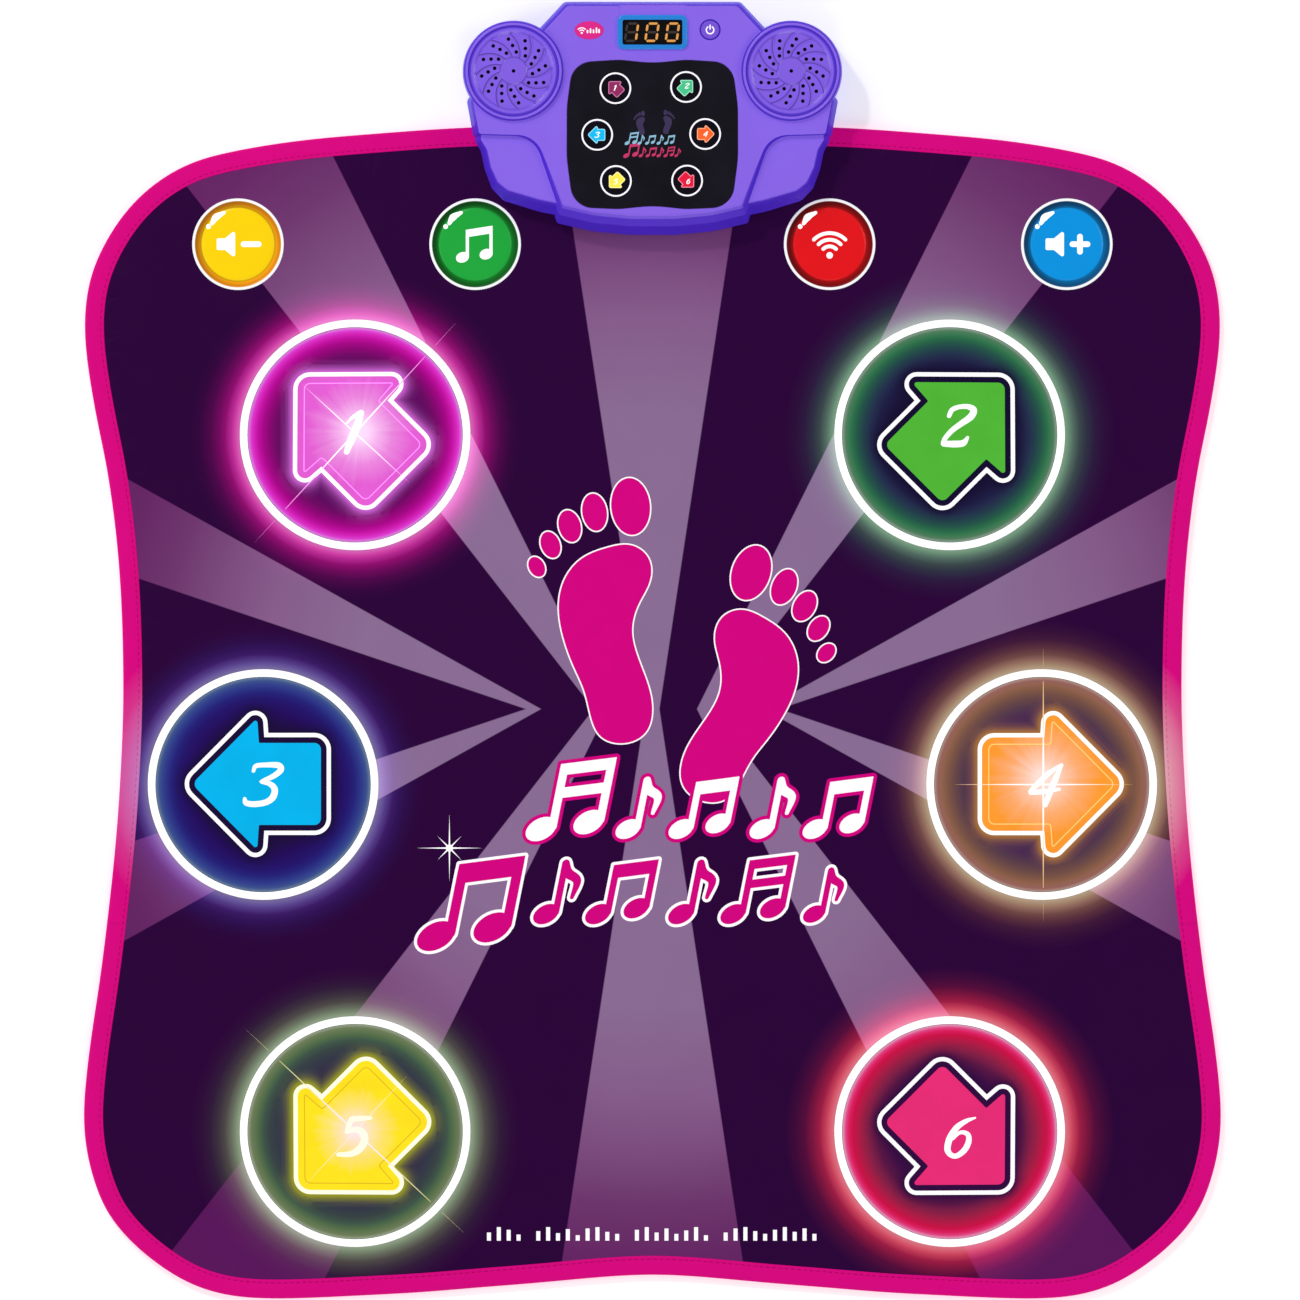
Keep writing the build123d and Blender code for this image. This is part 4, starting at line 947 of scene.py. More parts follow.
def build_stitches():
    """One row of stitches near the inner edge of the tape."""
    seam = inset(11.6)
    gaps = np.linalg.norm(np.roll(seam, -1, 0) - seam, axis=1)
    run = np.concatenate([[0], np.cumsum(gaps)])
    length = run[-1]
    count = int(round(length / 4.6))
    pitch = length / count
    closed = np.vstack([seam, seam[:1]])
    section = [(0.32 * math.cos(t), 0.26 * math.sin(t))
               for t in np.linspace(0, 2 * math.pi, 6, endpoint=False)]
    stations = [  # (share of the stitch, thickness factor, rise)
        (0.0, 0.35, -0.12), (0.18, 0.9, 0.1), (0.5, 1.0, 0.2), (0.82, 0.9, 0.1),
        (1.0, 0.35, -0.12)]

    def point_at(along):
        return np.array([np.interp(along, run, closed[:, i]) for i in (0, 1)])
    verts, stitches = [], []
    for k in range(count):
        rings = []
        for share, thick, rise in stations:
            along = (k * pitch + share * pitch * 0.72) % length
            point = point_at(along)
            ahead = point_at((along + 0.5) % length) - point
            ahead /= np.linalg.norm(ahead) + 1e-9
            side = np.array([ahead[1], -ahead[0]])
            rings.append(list(range(len(verts), len(verts) + 6)))
            for a, b in section:
                verts.append((*(point + side * a * thick), 5.72 + rise + b * thick))
        faces = [(a[j], b[j], b[(j + 1) % 6], a[(j + 1) % 6])
                 for a, b in zip(rings, rings[1:]) for j in range(6)]
        stitches.append(faces + [tuple(rings[0]), tuple(rings[-1][::-1])])
    verts = np.array(verts)
    for name, above, fold in (("binding_stitches_a", True, "upper"),
                              ("binding_stitches_b", False, "lower")):
        faces = [face for stitch in stitches
                 if (verts[list(stitch[0])][:, 1].mean() >= SPLIT_Y) == above
                 for face in stitch]
        used = sorted({i for face in faces for i in face})
        new_id = {old: new for new, old in enumerate(used)}
        ob = make_object(name, [verts[i] for i in used],
                         [tuple(new_id[i] for i in face) for face in faces],
                         M_THREAD, smooth=True)
        blend(ob, fold, cut=False)


def build_light_rings():
    profile = [  # (r, z)
        (RING_IN, Z_UNDER), (RING_IN, 5.45), (RING_IN + 0.35, 5.75), (RING_IN + 1.3, 5.92),
        ((RING_IN + RING_OUT) / 2, 5.97), (RING_OUT - 1.3, 5.92), (RING_OUT - 0.35, 5.75),
        (RING_OUT, 5.45), (RING_OUT, Z_UNDER), (RING_IN, Z_UNDER)]
    for n, centre in PADS.items():
        ob = lathe("light_ring_%d" % n, *centre, profile[::-1], M_RING, 160)
        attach(ob, PANEL_BODY[PAD_PANEL[n]])
        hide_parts("ring_lights_" + PAD_PANEL[n])


build_cover()
build_backing()
build_binding()
build_stitches()
build_light_rings()

# ---------------------------------------------------------------- step pads, arrows, digits
ARROW = [  # (x, y, corner radius) of an arrow along +X
    (51.31, 0, 5.131), (3.4451, 48.378, 1.6126), (2.199, 30.053, 1.0995),
    (-43.247, 30.053, 4.7645), (-43.247, -30.053, 4.7645), (2.199, -30.053, 1.0995),
    (3.4451, -48.378, 1.6126)]
ARROW_AT = {  # arrow centre from the pad centre
    1: (-1.6859, 2.199), 2: (4.0315, 1.9791), 3: (-0.8796, 0.4398),
    4: (3.665, 0.2932), 5: (-1.3194, -2.199), 6: (4.0315, -2.4922)}
LINE_IN, LINE_OUT = 4.21475, 7.33     # the outline's offsets from the arrow
GLOW_LEVELS = [  # (offset from the arrow, glow)
    (LINE_OUT, 1.0), (9.1625, 0.8), (10.6285, 0.55), (12.8275, 0.3), (16.126, 0.1), (20.524, 0.0)]
DIGITS = {  # brush strokes about the pad centre: (path, radii)
    1: [([(-5.864, 8.796), (-2.199, 12.461), (3.665, 16.126)], [0.733, 1.2461, 1.9058]),
        ([(4.398, 16.126), (1.0995, 5.864), (-2.932, -3.665), (-6.2305, -12.461)],
         [2.199, 2.8587, 2.8587, 2.0524])],
    2: [([(-0.4398, 13.927), (1.8325, 18.325), (7.33, 20.524), (13.927, 20.524),
          (17.592, 17.9585), (15.393, 13.194), (8.796, 8.4295), (1.8325, 3.2985),
          (-3.2985, -2.5655), (-4.7645, -6.3038)],
         [1.6126, 1.7592, 1.6126, 1.9058, 2.4922, 2.4922, 2.1257, 1.9058, 1.7592, 1.7592]),
        ([(-4.398, -6.4504), (3.2252, -6.7436), (9.8955, -6.0106), (13.194, -1.9058)],
         [2.1257, 2.4922, 2.3456, 1.0995])],
    3: [([(-7.1101, 9.9688), (-5.2043, 13.6338), (2.3456, 14.3668), (11.1416, 14.0736),
          (13.0474, 10.8484), (8.063, 6.4504), (0.733, 3.0786), (-1.6859, 2.1257)],
         [1.2461, 1.6126, 1.7592, 2.199, 2.199, 1.9058, 1.466, 0.9529]),
        ([(-1.1728, 1.6859), (4.7645, 0.5864), (8.4295, -3.2252), (7.33, -9.0159),
          (2.3456, -12.9008), (-5.9373, -14.3668), (-12.3877, -13.4872), (-13.4872, -10.4086)],
         [1.0262, 1.8325, 2.2723, 2.4189, 2.1257, 2.1257, 1.9791, 1.2461])],
    4: [([(14.1469, 14.3668), (4.5446, 7.6965), (-2.932, 0.5864), (-8.2096, -5.2776)],
         [1.0995, 1.8325, 1.9791, 1.6126]),
        ([(-8.063, -5.864), (1.7592, -5.131), (12.8275, -3.3718)], [1.6859, 1.9058, 1.1728]),
        ([(14.66, 14.3668), (10.262, 4.398), (6.597, -4.398), (2.6388, -14.9532)],
         [1.1728, 2.1257, 2.3456, 1.7592])],
    5: [([(11.3615, 9.9688), (4.398, 9.6756), (-2.199, 9.2358)], [1.1728, 1.9058, 1.9058]),
        ([(-2.4922, 9.0892), (-4.5446, 4.398), (-5.864, 0.2932)], [1.9058, 1.8325, 1.466]),
        ([(-5.864, -0.1466), (1.0995, 1.6126), (6.3038, -1.8325), (6.4504, -8.063),
          (1.8325, -13.927), (-4.398, -16.5658), (-12.3144, -16.7124)],
         [1.466, 1.8325, 2.4922, 2.7854, 2.4922, 2.0524, 1.466])],
    6: [([(18.6915, 10.1154), (12.0945, 7.7698), (5.131, 2.932), (0, -5.131),
          (-1.6126, -12.8275), (0.8796, -17.0056), (5.2776, -17.7386), (10.7018, -13.6338),
          (13.7804, -7.7698), (13.6338, -2.6388), (10.4086, -0.5864), (6.597, -1.1728),
          (2.4922, -5.4242)],
         [0.6597, 1.6126, 2.199, 2.4189, 2.3456, 1.9058, 1.8325, 2.1257, 2.1257, 1.8325,
          1.5393, 1.2461, 0.8796])],
}


def arrow_loop(n, grow=0.0):
    """Arrow of pad n about the origin, turned to its direction."""
    loop = round_corners([(x, y) for x, y, _ in ARROW], [radius for _, _, radius in ARROW])
    if grow:
        loop = clean_offset(loop, grow)
    turn = math.radians(ARROW_TURN[n])
    c, s = math.cos(turn), math.sin(turn)
    return np.stack([loop[:, 0] * c - loop[:, 1] * s, loop[:, 0] * s + loop[:, 1] * c], 1)


def arrow_on_pad(n, grow=0.0):
    return arrow_loop(n, grow) + np.array(ARROW_AT[n]) + np.array(PADS[n])


def digit_loops(n, size=1.0, weight=1.0, steps=6):
    return [loop for path, radii in DIGITS[n]
            for loop in brush(np.array(path) * size, [r * weight for r in radii], steps)]


def build_pad(n):
    centre = PADS[n]
    body = "press_pad_%d" % n
    loops = [arrow_on_pad(n, grow) for grow, _ in GLOW_LEVELS]
    flat, tris = triangulate([circle(*centre, PAD_R, 144)], [],
                             loops + [circle(*centre, r, 96) for r in (60, 68, 74)])
    ob = prism("step_pad_%d" % n, flat, tris, Z_UNDER, Z_PAD, pad_material(n))
    # glow attribute: 1 at the arrow's outline, fading outward
    points = np.vstack([flat, flat])
    glow = np.zeros(len(points))
    for (_, level), loop in zip(GLOW_LEVELS[::-1], loops[::-1]):
        glow[inside(points, offset_round(loop, 0.02))] = level
    attribute = ob.data.attributes.new("glow", "FLOAT", "POINT")
    attribute.data.foreach_set("value", glow.astype(np.float32))
    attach(ob, body)
    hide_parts("pad_%d" % n)

    # on a lit pad the colour fills the gap up to the outline, elsewhere the gap is dark
    lit = n in LIT
    white = M_CREAM if n == 5 else M_DIGIT
    decal("arrow_fill_%d" % n, [arrow_on_pad(n, LINE_IN if lit else 0.0)], Z_PAD + 0.01,
          arrow_material(n), body, 0.10, points=circle(0, 0, 14.66, 16) + np.array(centre))
    decal("arrow_outline_%d" % n, [arrow_on_pad(n, LINE_OUT)], Z_PAD + 0.01,
          white if lit else M_WHITE, body, 0.14, cut=[arrow_on_pad(n, LINE_IN)])
    if lit:
        # painted light: a line just inside the arrow's edge, a painted highlight on pads 1 and 4
        # and painted shade on pad 5
        pale = printed("arrow_edge_painted_light_%d" % n,
                       "#dcb422" if n == 5 else times(lin(ARROW_COLOR[n]), 1.25, add=0.12),
                       glow=0.4 if n == 5 else 0.7)
        decal("arrow_inner_painted_light_%d" % n, [arrow_on_pad(n, -0.4398)], Z_PAD + 0.10, pale, body,
              0.03, cut=[arrow_on_pad(n, -1.1728)])
    else:
        shade = printed("arrow_gap_%d" % n, pad_centre_color(n), glow=0.2)
        decal("arrow_gap_%d" % n, [arrow_on_pad(n, LINE_IN)], Z_PAD + 0.01, shade, body, 0.05,
              cut=[arrow_on_pad(n)])
    decal("digit_%d" % n, [loop + np.array(centre) for loop in digit_loops(n)], Z_PAD + 0.11,
          white, body, 0.12)


FLARE_PAD_END = 75.8655       # flares on the pad stop here
FLARE_COVER_START = 86.9338   # and go on over the cover from here, if longer than
FLARE_COVER_MIN = 85.028


def build_flares(n):
    """Thin crossing light streaks on a lit pad and on the cover beyond its ring."""
    material = flare_material(n)
    centre = np.array(LIT[n]["flare_at"]) + np.array(PADS[n])
    inner, outer = [], []
    for angle, length, width in LIT[n]["flares"]:
        turn = math.radians(angle)
        along = np.array([math.cos(turn), math.sin(turn)])
        side = np.array([-along[1], along[0]])

        def edge(t, sign, way=1):
            half = width * max(0.0, 1 - abs(t) / length) ** 0.8
            return way * along * t + sign * side * half
        end = min(length, FLARE_PAD_END)
        skip = 1 if end == length else 0       # a pointed tip is a single point
        run = np.linspace(-end, end, 41)
        inner.append(np.array([edge(t, 1) for t in run[skip:]]
                              + [edge(t, -1) for t in run[::-1][skip:]]))
        if length > FLARE_COVER_MIN:
            run = np.linspace(FLARE_COVER_START, length, 10)
            for way in (1, -1):
                outer.append(np.array([edge(t, 1, way) for t in run]
                                      + [edge(t, -1, way) for t in run[::-1][1:]]))
    decal("flare_%d" % n, [ccw(loop + centre) for loop in inner], Z_PAD + 0.16, material,
          "press_pad_%d" % n, 0.03)
    if outer:
        decal("flare_outer_%d" % n, [ccw(loop + centre) for loop in outer], Z_TOP + 0.01,
              material, PANEL_BODY[PAD_PANEL[n]], 0.04)


for n in PADS:
    build_pad(n)
for n in LIT:
    build_flares(n)

# ---------------------------------------------------------------- function buttons
BUTTON_PROFILE = [  # (r, z)
    (0, Z_UNDER), (BUTTON_R, Z_UNDER), (BUTTON_R, 5.55), (33.2, 5.78), (32.0, 5.82),
    (31.35, 5.72), (30.9, 5.50), (29.6, 5.42), (27.6, 5.38), (26.9, 5.30), (26.3, 5.42),
    (25.7, 5.78), (24.6, 5.92), (21, 6.0), (14, 6.07), (6, 6.10), (0, 6.11)]
# icons are drawn about the button centre
SPEAKER = [round_corners(
    [(-13.927, -3.8116), (-8.4295, -3.8116), (-1.8325, -9.2358),
     (-1.8325, 9.2358), (-8.4295, 3.8116), (-13.927, 3.8116)],
    [1.0262, 0.4398, 1.1728, 1.1728, 0.4398, 1.0262])]
MINUS = [capsule(3.665, 0, 13.5605, 0, 1.8325)]
PLUS = MINUS + [capsule(8.61275, -4.94775, 8.61275, 4.94775, 1.8325)]
WIRELESS = [circle(0, -9.529, 2.7854, 24)]
WIRELESS += [arc_band(0, -9.529, 7.6965 + 5.6441 * i, 1.5393, 45, 135) for i in range(3)]
NOTE_PAIR = [
    ellipse(-8.796, -9.1625, 4.6912, 3.5917, math.radians(20), 28),
    ellipse(7.6965, -6.9635, 4.6912, 3.5917, math.radians(20), 28),
    np.array([(-6.5237, -8.4295), (-4.3247, -8.4295), (-4.3247, 8.063), (-6.5237, 8.063)]),
    np.array([(9.9688, -6.2305), (12.1678, -6.2305), (12.1678, 10.262), (9.9688, 10.262)]),
    np.array([(-6.5237, 4.7645), (12.1678, 7.6965), (12.1678, 12.9008), (-6.5237, 9.9688)])]
ICONS = {"volume_down_button": SPEAKER + MINUS, "mode_button": NOTE_PAIR,
         "wireless_button": WIRELESS, "volume_up_button": SPEAKER + PLUS}
GLINT = brush([(-19.058, 15.0265), (-16.126, 19.791), (-10.262, 23.0895)],
              [1.1728, 2.4922, 1.1728]) + [circle(-21.6235, 12.9008, 1.6859, 20)]
# painted highlight: a thin pale arc inside the button's rim
HIGHLIGHT_ARC = [arc_band(0, 0, 23.8958, 0.30786, -35, 85, 40)]
M_GLINT = printed("button_glint", "#ffffff", rough=0.15, glow=0.75, spec=0.4)


def build_button(name, x, body, slot, face, rim, icon_size):
    cap = lathe(name + "_cap", x, BUTTON_Y, BUTTON_PROFILE,
                button_material(name, x, BUTTON_Y, face, rim), 128)
    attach(cap, body)
    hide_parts(name)

    def at(loops, size=1.0):
        return [ccw(loop * size + np.array([x, BUTTON_Y])) for loop in loops]
    decal(name + "_icon", at(ICONS[name], icon_size), 6.02, M_DIGIT, body, 0.16)
    decal(name + "_glint", at(GLINT), 5.88, M_GLINT, body, 0.12)
    # painted highlight arc, in a paler tone of the face
    pale = printed(name + "_painted_highlight_arc", times(lin(face), 0.9, add=0.10), rough=0.2, glow=0.4)
    decal(name + "_painted_highlight_arc", at(HIGHLIGHT_ARC), 5.86, pale, body, 0.06)


for name, row in BUTTONS.items():
    build_button(name, *row)

# ---------------------------------------------------------------- footprints
SOLE = [  # (x, y) round the sole, heel at -Y
    (-16.126, -40.315), (-10.995, -54.242), (2.199, -59.373), (15.393, -54.242),
    (20.524, -41.048), (19.058, -25.655), (14.66, -9.529), (13.194, 5.131),
    (18.325, 19.058), (25.655, 31.519), (25.655, 44.713), (16.859, 52.776),
    (2.199, 52.776), (-13.194, 47.645), (-24.189, 35.917), (-28.587, 19.791),
    (-27.121, 2.199), (-22.723, -13.927), (-18.325, -27.121)]
TOES = [  # (x, y, half width, half length, tilt in degrees)
    (17.592, 74.033, 11.728, 16.859, 0), (-2.932, 72.567, 7.6965, 11.3615, 4),
    (-17.592, 65.97, 6.9635, 9.8955, 10), (-29.32, 56.441, 6.0839, 8.4295, 16),
    (-38.116, 44.713, 5.131, 6.7436, 24)]


def foot(cx, cy, size, tilt, mirror):
    """Loops of a bare footprint: the sole and five toes."""
    flip = -1 if mirror else 1
    turn = math.radians(tilt)

    def at(x, y):
        x, y = x * flip * size, y * size
        return (cx + x * math.cos(turn) - y * math.sin(turn),
                cy + x * math.sin(turn) + y * math.cos(turn))
    loops = [ccw(spline_closed([at(x, y) for x, y in SOLE], max(0.5, 2.5 * size)))]
    for x, y, rx, ry, lean in TOES:
        loops.append(ellipse(*at(x, y), rx * size, ry * size,
                             math.radians(lean * flip) + turn, 40))
    return loops


for side, loops in (("left", foot(-30.3462, 7.43995, 1.30, 5, False)),
                    ("right", foot(62.7448, -40.20505, 1.28, -19, True))):
    for part, grow, z, material in (("outline", 0.0, Z_ART, M_WHITE),
                                    ("fill", -1.0, Z_ART + 0.095, M_PINK)):
        shape = [offset_round(loop, grow, 5) if grow else loop for loop in loops]
        ob = prism("footprint_%s_%s" % (side, part), *triangulate(shape), z, z + 0.06, material)
        blend(ob, "upper")

# ---------------------------------------------------------------- rows of music notes
FLAG = ([(7.33, 38.116), (10.262, 30.786), (18.325, 24.922), (16.859, 12.461)],
        [2.7854, 3.665, 3.0786, 1.466])
PAIR_BEAM = [(4.5446, 26.388), (37.383, 30.786), (37.383, 41.048), (4.5446, 36.65)]
QUAD_BEAMS = [[(4.5446, 33.718), (38.849, 38.116), (38.849, 45.446), (4.5446, 41.048)],
              [(4.5446, 19.058), (38.849, 23.456), (38.849, 30.053), (4.5446, 25.655)]]
NOTE_SHEAR = 0.2
NOTE_RISE = 4.398      # how much higher the second note of a pair stands
ROW_1 = [  # (kind, x, y of the first head, size)
    ("quad", -81.6562, -131.09705, 1.16), ("flag", -17.8852, -131.09705, 0.94),
    ("pair", 20.9638, -131.09705, 0.94), ("flag", 80.3368, -131.09705, 0.94),
    ("pair", 119.1858, -131.09705, 0.94)]
ROW_2 = [
    ("pair", -158.6212, -209.52805, 1.44), ("flag", -77.9912, -193.40205, 0.98),
    ("pair", -39.8752, -193.40205, 0.98), ("flag", 20.9638, -193.40205, 0.98),
    ("quad", 59.0798, -193.40205, 0.96), ("flag", 118.4528, -193.40205, 0.84)]


def note_loops(kind, x, y, size, grow=0.0):
    """A flagged note, or two joined by one beam (pair) or two (quad)."""
    def note(head_x, head_y, top):
        stem_x = head_x + 7.0368
        return [ellipse(head_x, head_y, 9.6756, 7.1834, math.radians(26), 32),
                capsule(stem_x, head_y + 1.466, stem_x, top, 2.5655)]
    if kind == "flag":
        loops = note(0, 0, 38.116) + brush(*FLAG, steps=5)
    else:
        beams, pitch, top = {"pair": ([PAIR_BEAM], 27.854, 33.718),
                             "quad": (QUAD_BEAMS, 29.32, 38.116)}[kind]
        loops = note(0, 0, top) + note(pitch, NOTE_RISE, top + NOTE_RISE) + beams
    out = []
    for loop in loops:
        loop = ccw(np.array(loop, float) * size)
        loop = np.stack([loop[:, 0] + NOTE_SHEAR * loop[:, 1], loop[:, 1]], 1)
        if grow:
            loop = offset_round(loop, grow, 6)
        out.append(ccw(loop + np.array([x, y])))
    return out


Z_NOTES = Z_ART + 0.13
for row, notes, grow, outline, fill in (("upper", ROW_1, 2.6388, M_PINK, M_WHITE),
                                        ("lower", ROW_2, 2.1257, M_WHITE, M_PINK)):
    for part, width, z, material in (("outline", grow, Z_NOTES, outline),
                                     ("fill", 0.0, Z_NOTES + 0.065, fill)):
        decal("notes_%s_%s" % (row, part),
              [loop for note in notes for loop in note_loops(*note, grow=width)],
              z, material, "mat_middle", 0.06)

# ---------------------------------------------------------------- star and level bars
STAR_X, STAR_Y = -148.7257, -145.02405
STAR_TIPS = [24.189, 12.461, 24.922, 12.461]      # right, diagonal, up, diagonal
STAR_WAIST = 1.5393


def star_loop():
    pts = []
    for i in range(16):
        t = math.pi / 8 * i
        # the tip on the left is a diagonal's length only in name: tips repeat each half turn
        r = STAR_WAIST if i % 2 else STAR_TIPS[i // 2 % 4]
        pts.append((STAR_X + r * math.cos(t), STAR_Y + r * math.sin(t)))
    return np.array(pts)


decal("sparkle_star", [star_loop(), circle(STAR_X, STAR_Y, 2.6, 24)], Z_ART + 0.28, M_DIGIT,
      "mat_middle", 0.04)

BAR_X, BAR_Y = -119.7722, -432.72655     # middle of the first bar's foot
BAR_PITCH, BAR_HALF, BAR_HEIGHT = 7.22738, 1.466, 9.8955
BAR_LEVELS = [  # share of the full height; 0 leaves a gap
    0.6, 1.0, 0.8, 0.45, 0, 0.7, 1.0, 0.55, 0.85, 0.4, 0.9, 1.0, 0.65, 0.5, 0, 0.8, 1.0,
    0.6, 0.9, 0.5, 0.75, 1.0, 0.4, 0, 0.6, 0.9, 1.0, 0.7, 0.5, 0.8, 1.0, 0.65, 0.9, 0.5]
bars = []
for i, level in enumerate(BAR_LEVELS):
    if level:
        x, top = BAR_X + i * BAR_PITCH, BAR_Y + BAR_HEIGHT * level
        bars.append([(x - BAR_HALF, BAR_Y), (x + BAR_HALF, BAR_Y),
                     (x + BAR_HALF, top), (x - BAR_HALF, top)])
decal("level_bars", bars, Z_ART, M_WHITE, "mat_lower", 0.06)


# ---------------------------------------------------------------- materials of the CAD pieces
def dress(material, *names):
    for name in names:
        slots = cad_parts[name].data.materials
        slots.clear()
        slots.append(material)


def shell_material(name, top, shaded_wall, glow=0.22):
    """Moulded ABS: satin top faces, walls painted darker as shade by slope, softened edges."""
    sh = Shader(name, "object")
    normal = sh.sep(sh.node("NewGeometry").outputs["Normal"])
    # painted shade: the less a face looks up, the more it takes the darker wall colour
    up = sh.ramp(normal[2], [(0.0, 0.0), (0.45, 0.0), (0.80, 0.14), (0.93, 0.75), (0.98, 1.0)])
    color = sh.mix(up, lin(shaded_wall), lin(top))
    tone = sh.mottle(sh.noise(scale=18, detail=4, rough=0.6), 0.95, 1.0)
    color = sh.mix(1.0, color, tone, "MULTIPLY")
    bump = sh.bump(sh.noise(scale=1600, detail=3, rough=0.6), strength=0.05, distance=0.0002)
    bevel = sh.node("Bevel")
    bevel.samples = 6
    bevel.inputs["Radius"].default_value = 0.0012
    sh.link(bevel.outputs[0], bump.inputs["Normal"])
    return sh.set(color=color, spec=sh.madd(up, 0.40, 0.02), emit=color, power=glow,
                  rough=sh.vary(scale=40, detail=4, rough=0.6, spread=0.12, low=0.24))


def grille_material(side):
    """Fan-like face: each blade fades from a painted highlight on its edge to painted shade in
    the crease where the next starts.
    """
    sh = Shader("grille_violet_" + side, "object")
    sign = -1 if side == "left" else 1
    blades = 12
    place = sh.sep(sh.coords)
    normal = sh.sep(sh.node("NewGeometry").outputs["Normal"])
    x = sh.madd(place[0], 1000, -sign * 101.6)
    y = sh.madd(place[1], 1000, -423.8)
    r = sh.hypot(x, y)
    # blades start at r = 8.8 and sweep back over the next 19.6 mm
    t = sh.madd(r, 1 / 19.6, -8.8 / 19.6, clamp=True)
    angle = sh.add(sh.op("ARCTAN2", y, x), sh.mul(sh.op("POWER", t, 1.15), 0.62 * sign))
    phase = sh.op("FRACT", sh.madd(angle, blades / (2 * math.pi), 12.0))

    def near_crease(share, stops):
        """Ramp over the first 4 mm beside the crease."""
        arc = sh.mul(sh.mul(share, r), 2 * math.pi / blades)
        return sh.ramp(sh.mul(arc, 1 / 4.0), stops)
    # painted shade in the crease and a painted highlight on the lit edge
    crease = near_crease(phase, [(0.0, 0.62), (0.14, 0.52), (0.30, 0.80), (0.55, 0.96),
                                 (1.0, 1.0)])
    lit_edge = near_crease(sh.op("SUBTRACT", 1.0, phase),
                           [(0.0, 1.22), (0.16, 1.16), (0.34, 1.03), (1.0, 1.0)])
    on_fan = sh.mul(sh.op("GREATER_THAN", r, 10.4), sh.op("LESS_THAN", r, 27.8))
    shade = sh.mix(on_fan, (1, 1, 1), sh.mix(1.0, crease, lit_edge, "MULTIPLY"))
    # painted shade in the hub and rim grooves
    rings = sh.ramp(sh.mul(r, 1 / 34), [
        (0.0, 1.0), (0.275, 1.0), (0.290, 0.72), (0.305, 0.76), (0.325, 1.0), (0.80, 1.0),
        (0.825, 0.82), (0.85, 1.05), (0.93, 1.0), (0.945, 0.78)])
    # painted shade on faces that tilt away from up
    up = sh.ramp(normal[2], [(0.0, 0.0), (0.5, 0.1), (0.9, 0.8), (0.97, 1.0)])
    color = sh.mix(up, lin("#5f3bd8"), lin("#8761ea"))
    color = sh.mix(1.0, sh.mix(1.0, color, shade, "MULTIPLY"), rings, "MULTIPLY")
    sh.bump(sh.noise(scale=1600, detail=3, rough=0.6), strength=0.05, distance=0.0002)
    return sh.set(color=color, rough=0.22, spec=0.5, emit=color, power=0.24)


def overlay_material():
    sh = Shader("overlay_black", "object")
    color = sh.mottle(sh.noise(scale=30, detail=3), lin("#16131d"), lin("#1b1824"))
    sh.bump(sh.noise(scale=1100, detail=3, rough=0.6), strength=0.10, distance=0.0002)
    return sh.set(color=color, rough=sh.vary(scale=60, detail=4, spread=0.14, low=0.38),
                  spec=0.12)


def lens_material():
    sh = Shader("smoked_lens", "object")
    color = sh.mottle(sh.noise(scale=40, detail=2), (0.006, 0.006, 0.008), (0.009, 0.008, 0.010))
    sh.material.surface_render_method = "BLENDED"
    return sh.set(color=color, rough=0.06, spec=0.35, alpha=0.30)


def foam_material():
    sh = Shader("foam", "object")
    cell = sh.voronoi(scale=700)
    sh.bump(cell, strength=0.5, distance=0.0006)
    return sh.set(color=sh.mix(cell, lin("#cfcac0"), lin("#efece4")), rough=0.9, spec=0.1)


def film_material():
    sh = Shader("contact_film", "object")
    traces = sh.lattice(rate=90, width_x=0.16, width_y=0.10)
    sh.bump(traces, strength=0.15, distance=0.0001)
    return sh.set(color=sh.mix(traces, lin("#b9c4cc"), lin("#5c6870")), rough=0.25, spec=0.5)


def board_material():
    sh = Shader("circuit_green", "object")
    lines = sh.lattice(rate=420, width_x=0.22, width_y=0.16)
    traces = sh.mul(lines, sh.op("GREATER_THAN", sh.noise(scale=60, detail=1), 0.5))
    color = sh.mix(traces, lin("#0d4a24"), lin("#1c7a3c"))
    color = sh.mix(sh.op("LESS_THAN", sh.voronoi(scale=180), 0.12), color, lin("#c8a850"))
    sh.bump(traces, strength=0.2, distance=0.0001)
    return sh.set(color=color, rough=0.35, spec=0.4)


def cell_material():
    """Battery label, banded along X every 50.5 mm."""
    sh = Shader("cell_label", "object")
    band = sh.op("FRACT", sh.mul(sh.sep(sh.coords)[0], 1000 / 50.5))
    color = sh.mix(sh.op("GREATER_THAN", band, 0.62), lin("#26262c"), lin("#b58a3a"))
    sh.bump(sh.noise(scale=400, detail=2), strength=0.05, distance=0.0001)
    return sh.set(color=color, rough=0.3, spec=0.5, metal=0.3)


def metal(name, color, rough):
    sh = Shader(name, "object")
    base = lin(color)
    tone = sh.mottle(sh.noise(scale=200, detail=3), times(base, 0.85), base)
    sh.bump(sh.noise(scale=900, detail=2), strength=0.08, distance=0.0001)
    return sh.set(color=tone, metal=1.0,
                  rough=sh.vary(scale=80, detail=3, spread=0.2, low=rough - 0.1))


def rubber(name, color):
    sh = Shader(name, "object")
    base = lin(color)
    tone = sh.mottle(sh.noise(scale=60, detail=4), times(base, 0.8), base)
    sh.bump(sh.noise(scale=1200, detail=3), strength=0.25, distance=0.0003)
    return sh.set(color=tone, rough=0.82, spec=0.2)


def paper_material():
    sh = Shader("cone_paper", "object")
    fibre = sh.noise(scale=500, detail=4, rough=0.7)
    sh.bump(fibre, strength=0.4, distance=0.0003)
    return sh.set(color=sh.mottle(fibre, lin("#1c1a1a"), lin("#2c2928")), rough=0.9, spec=0.1)


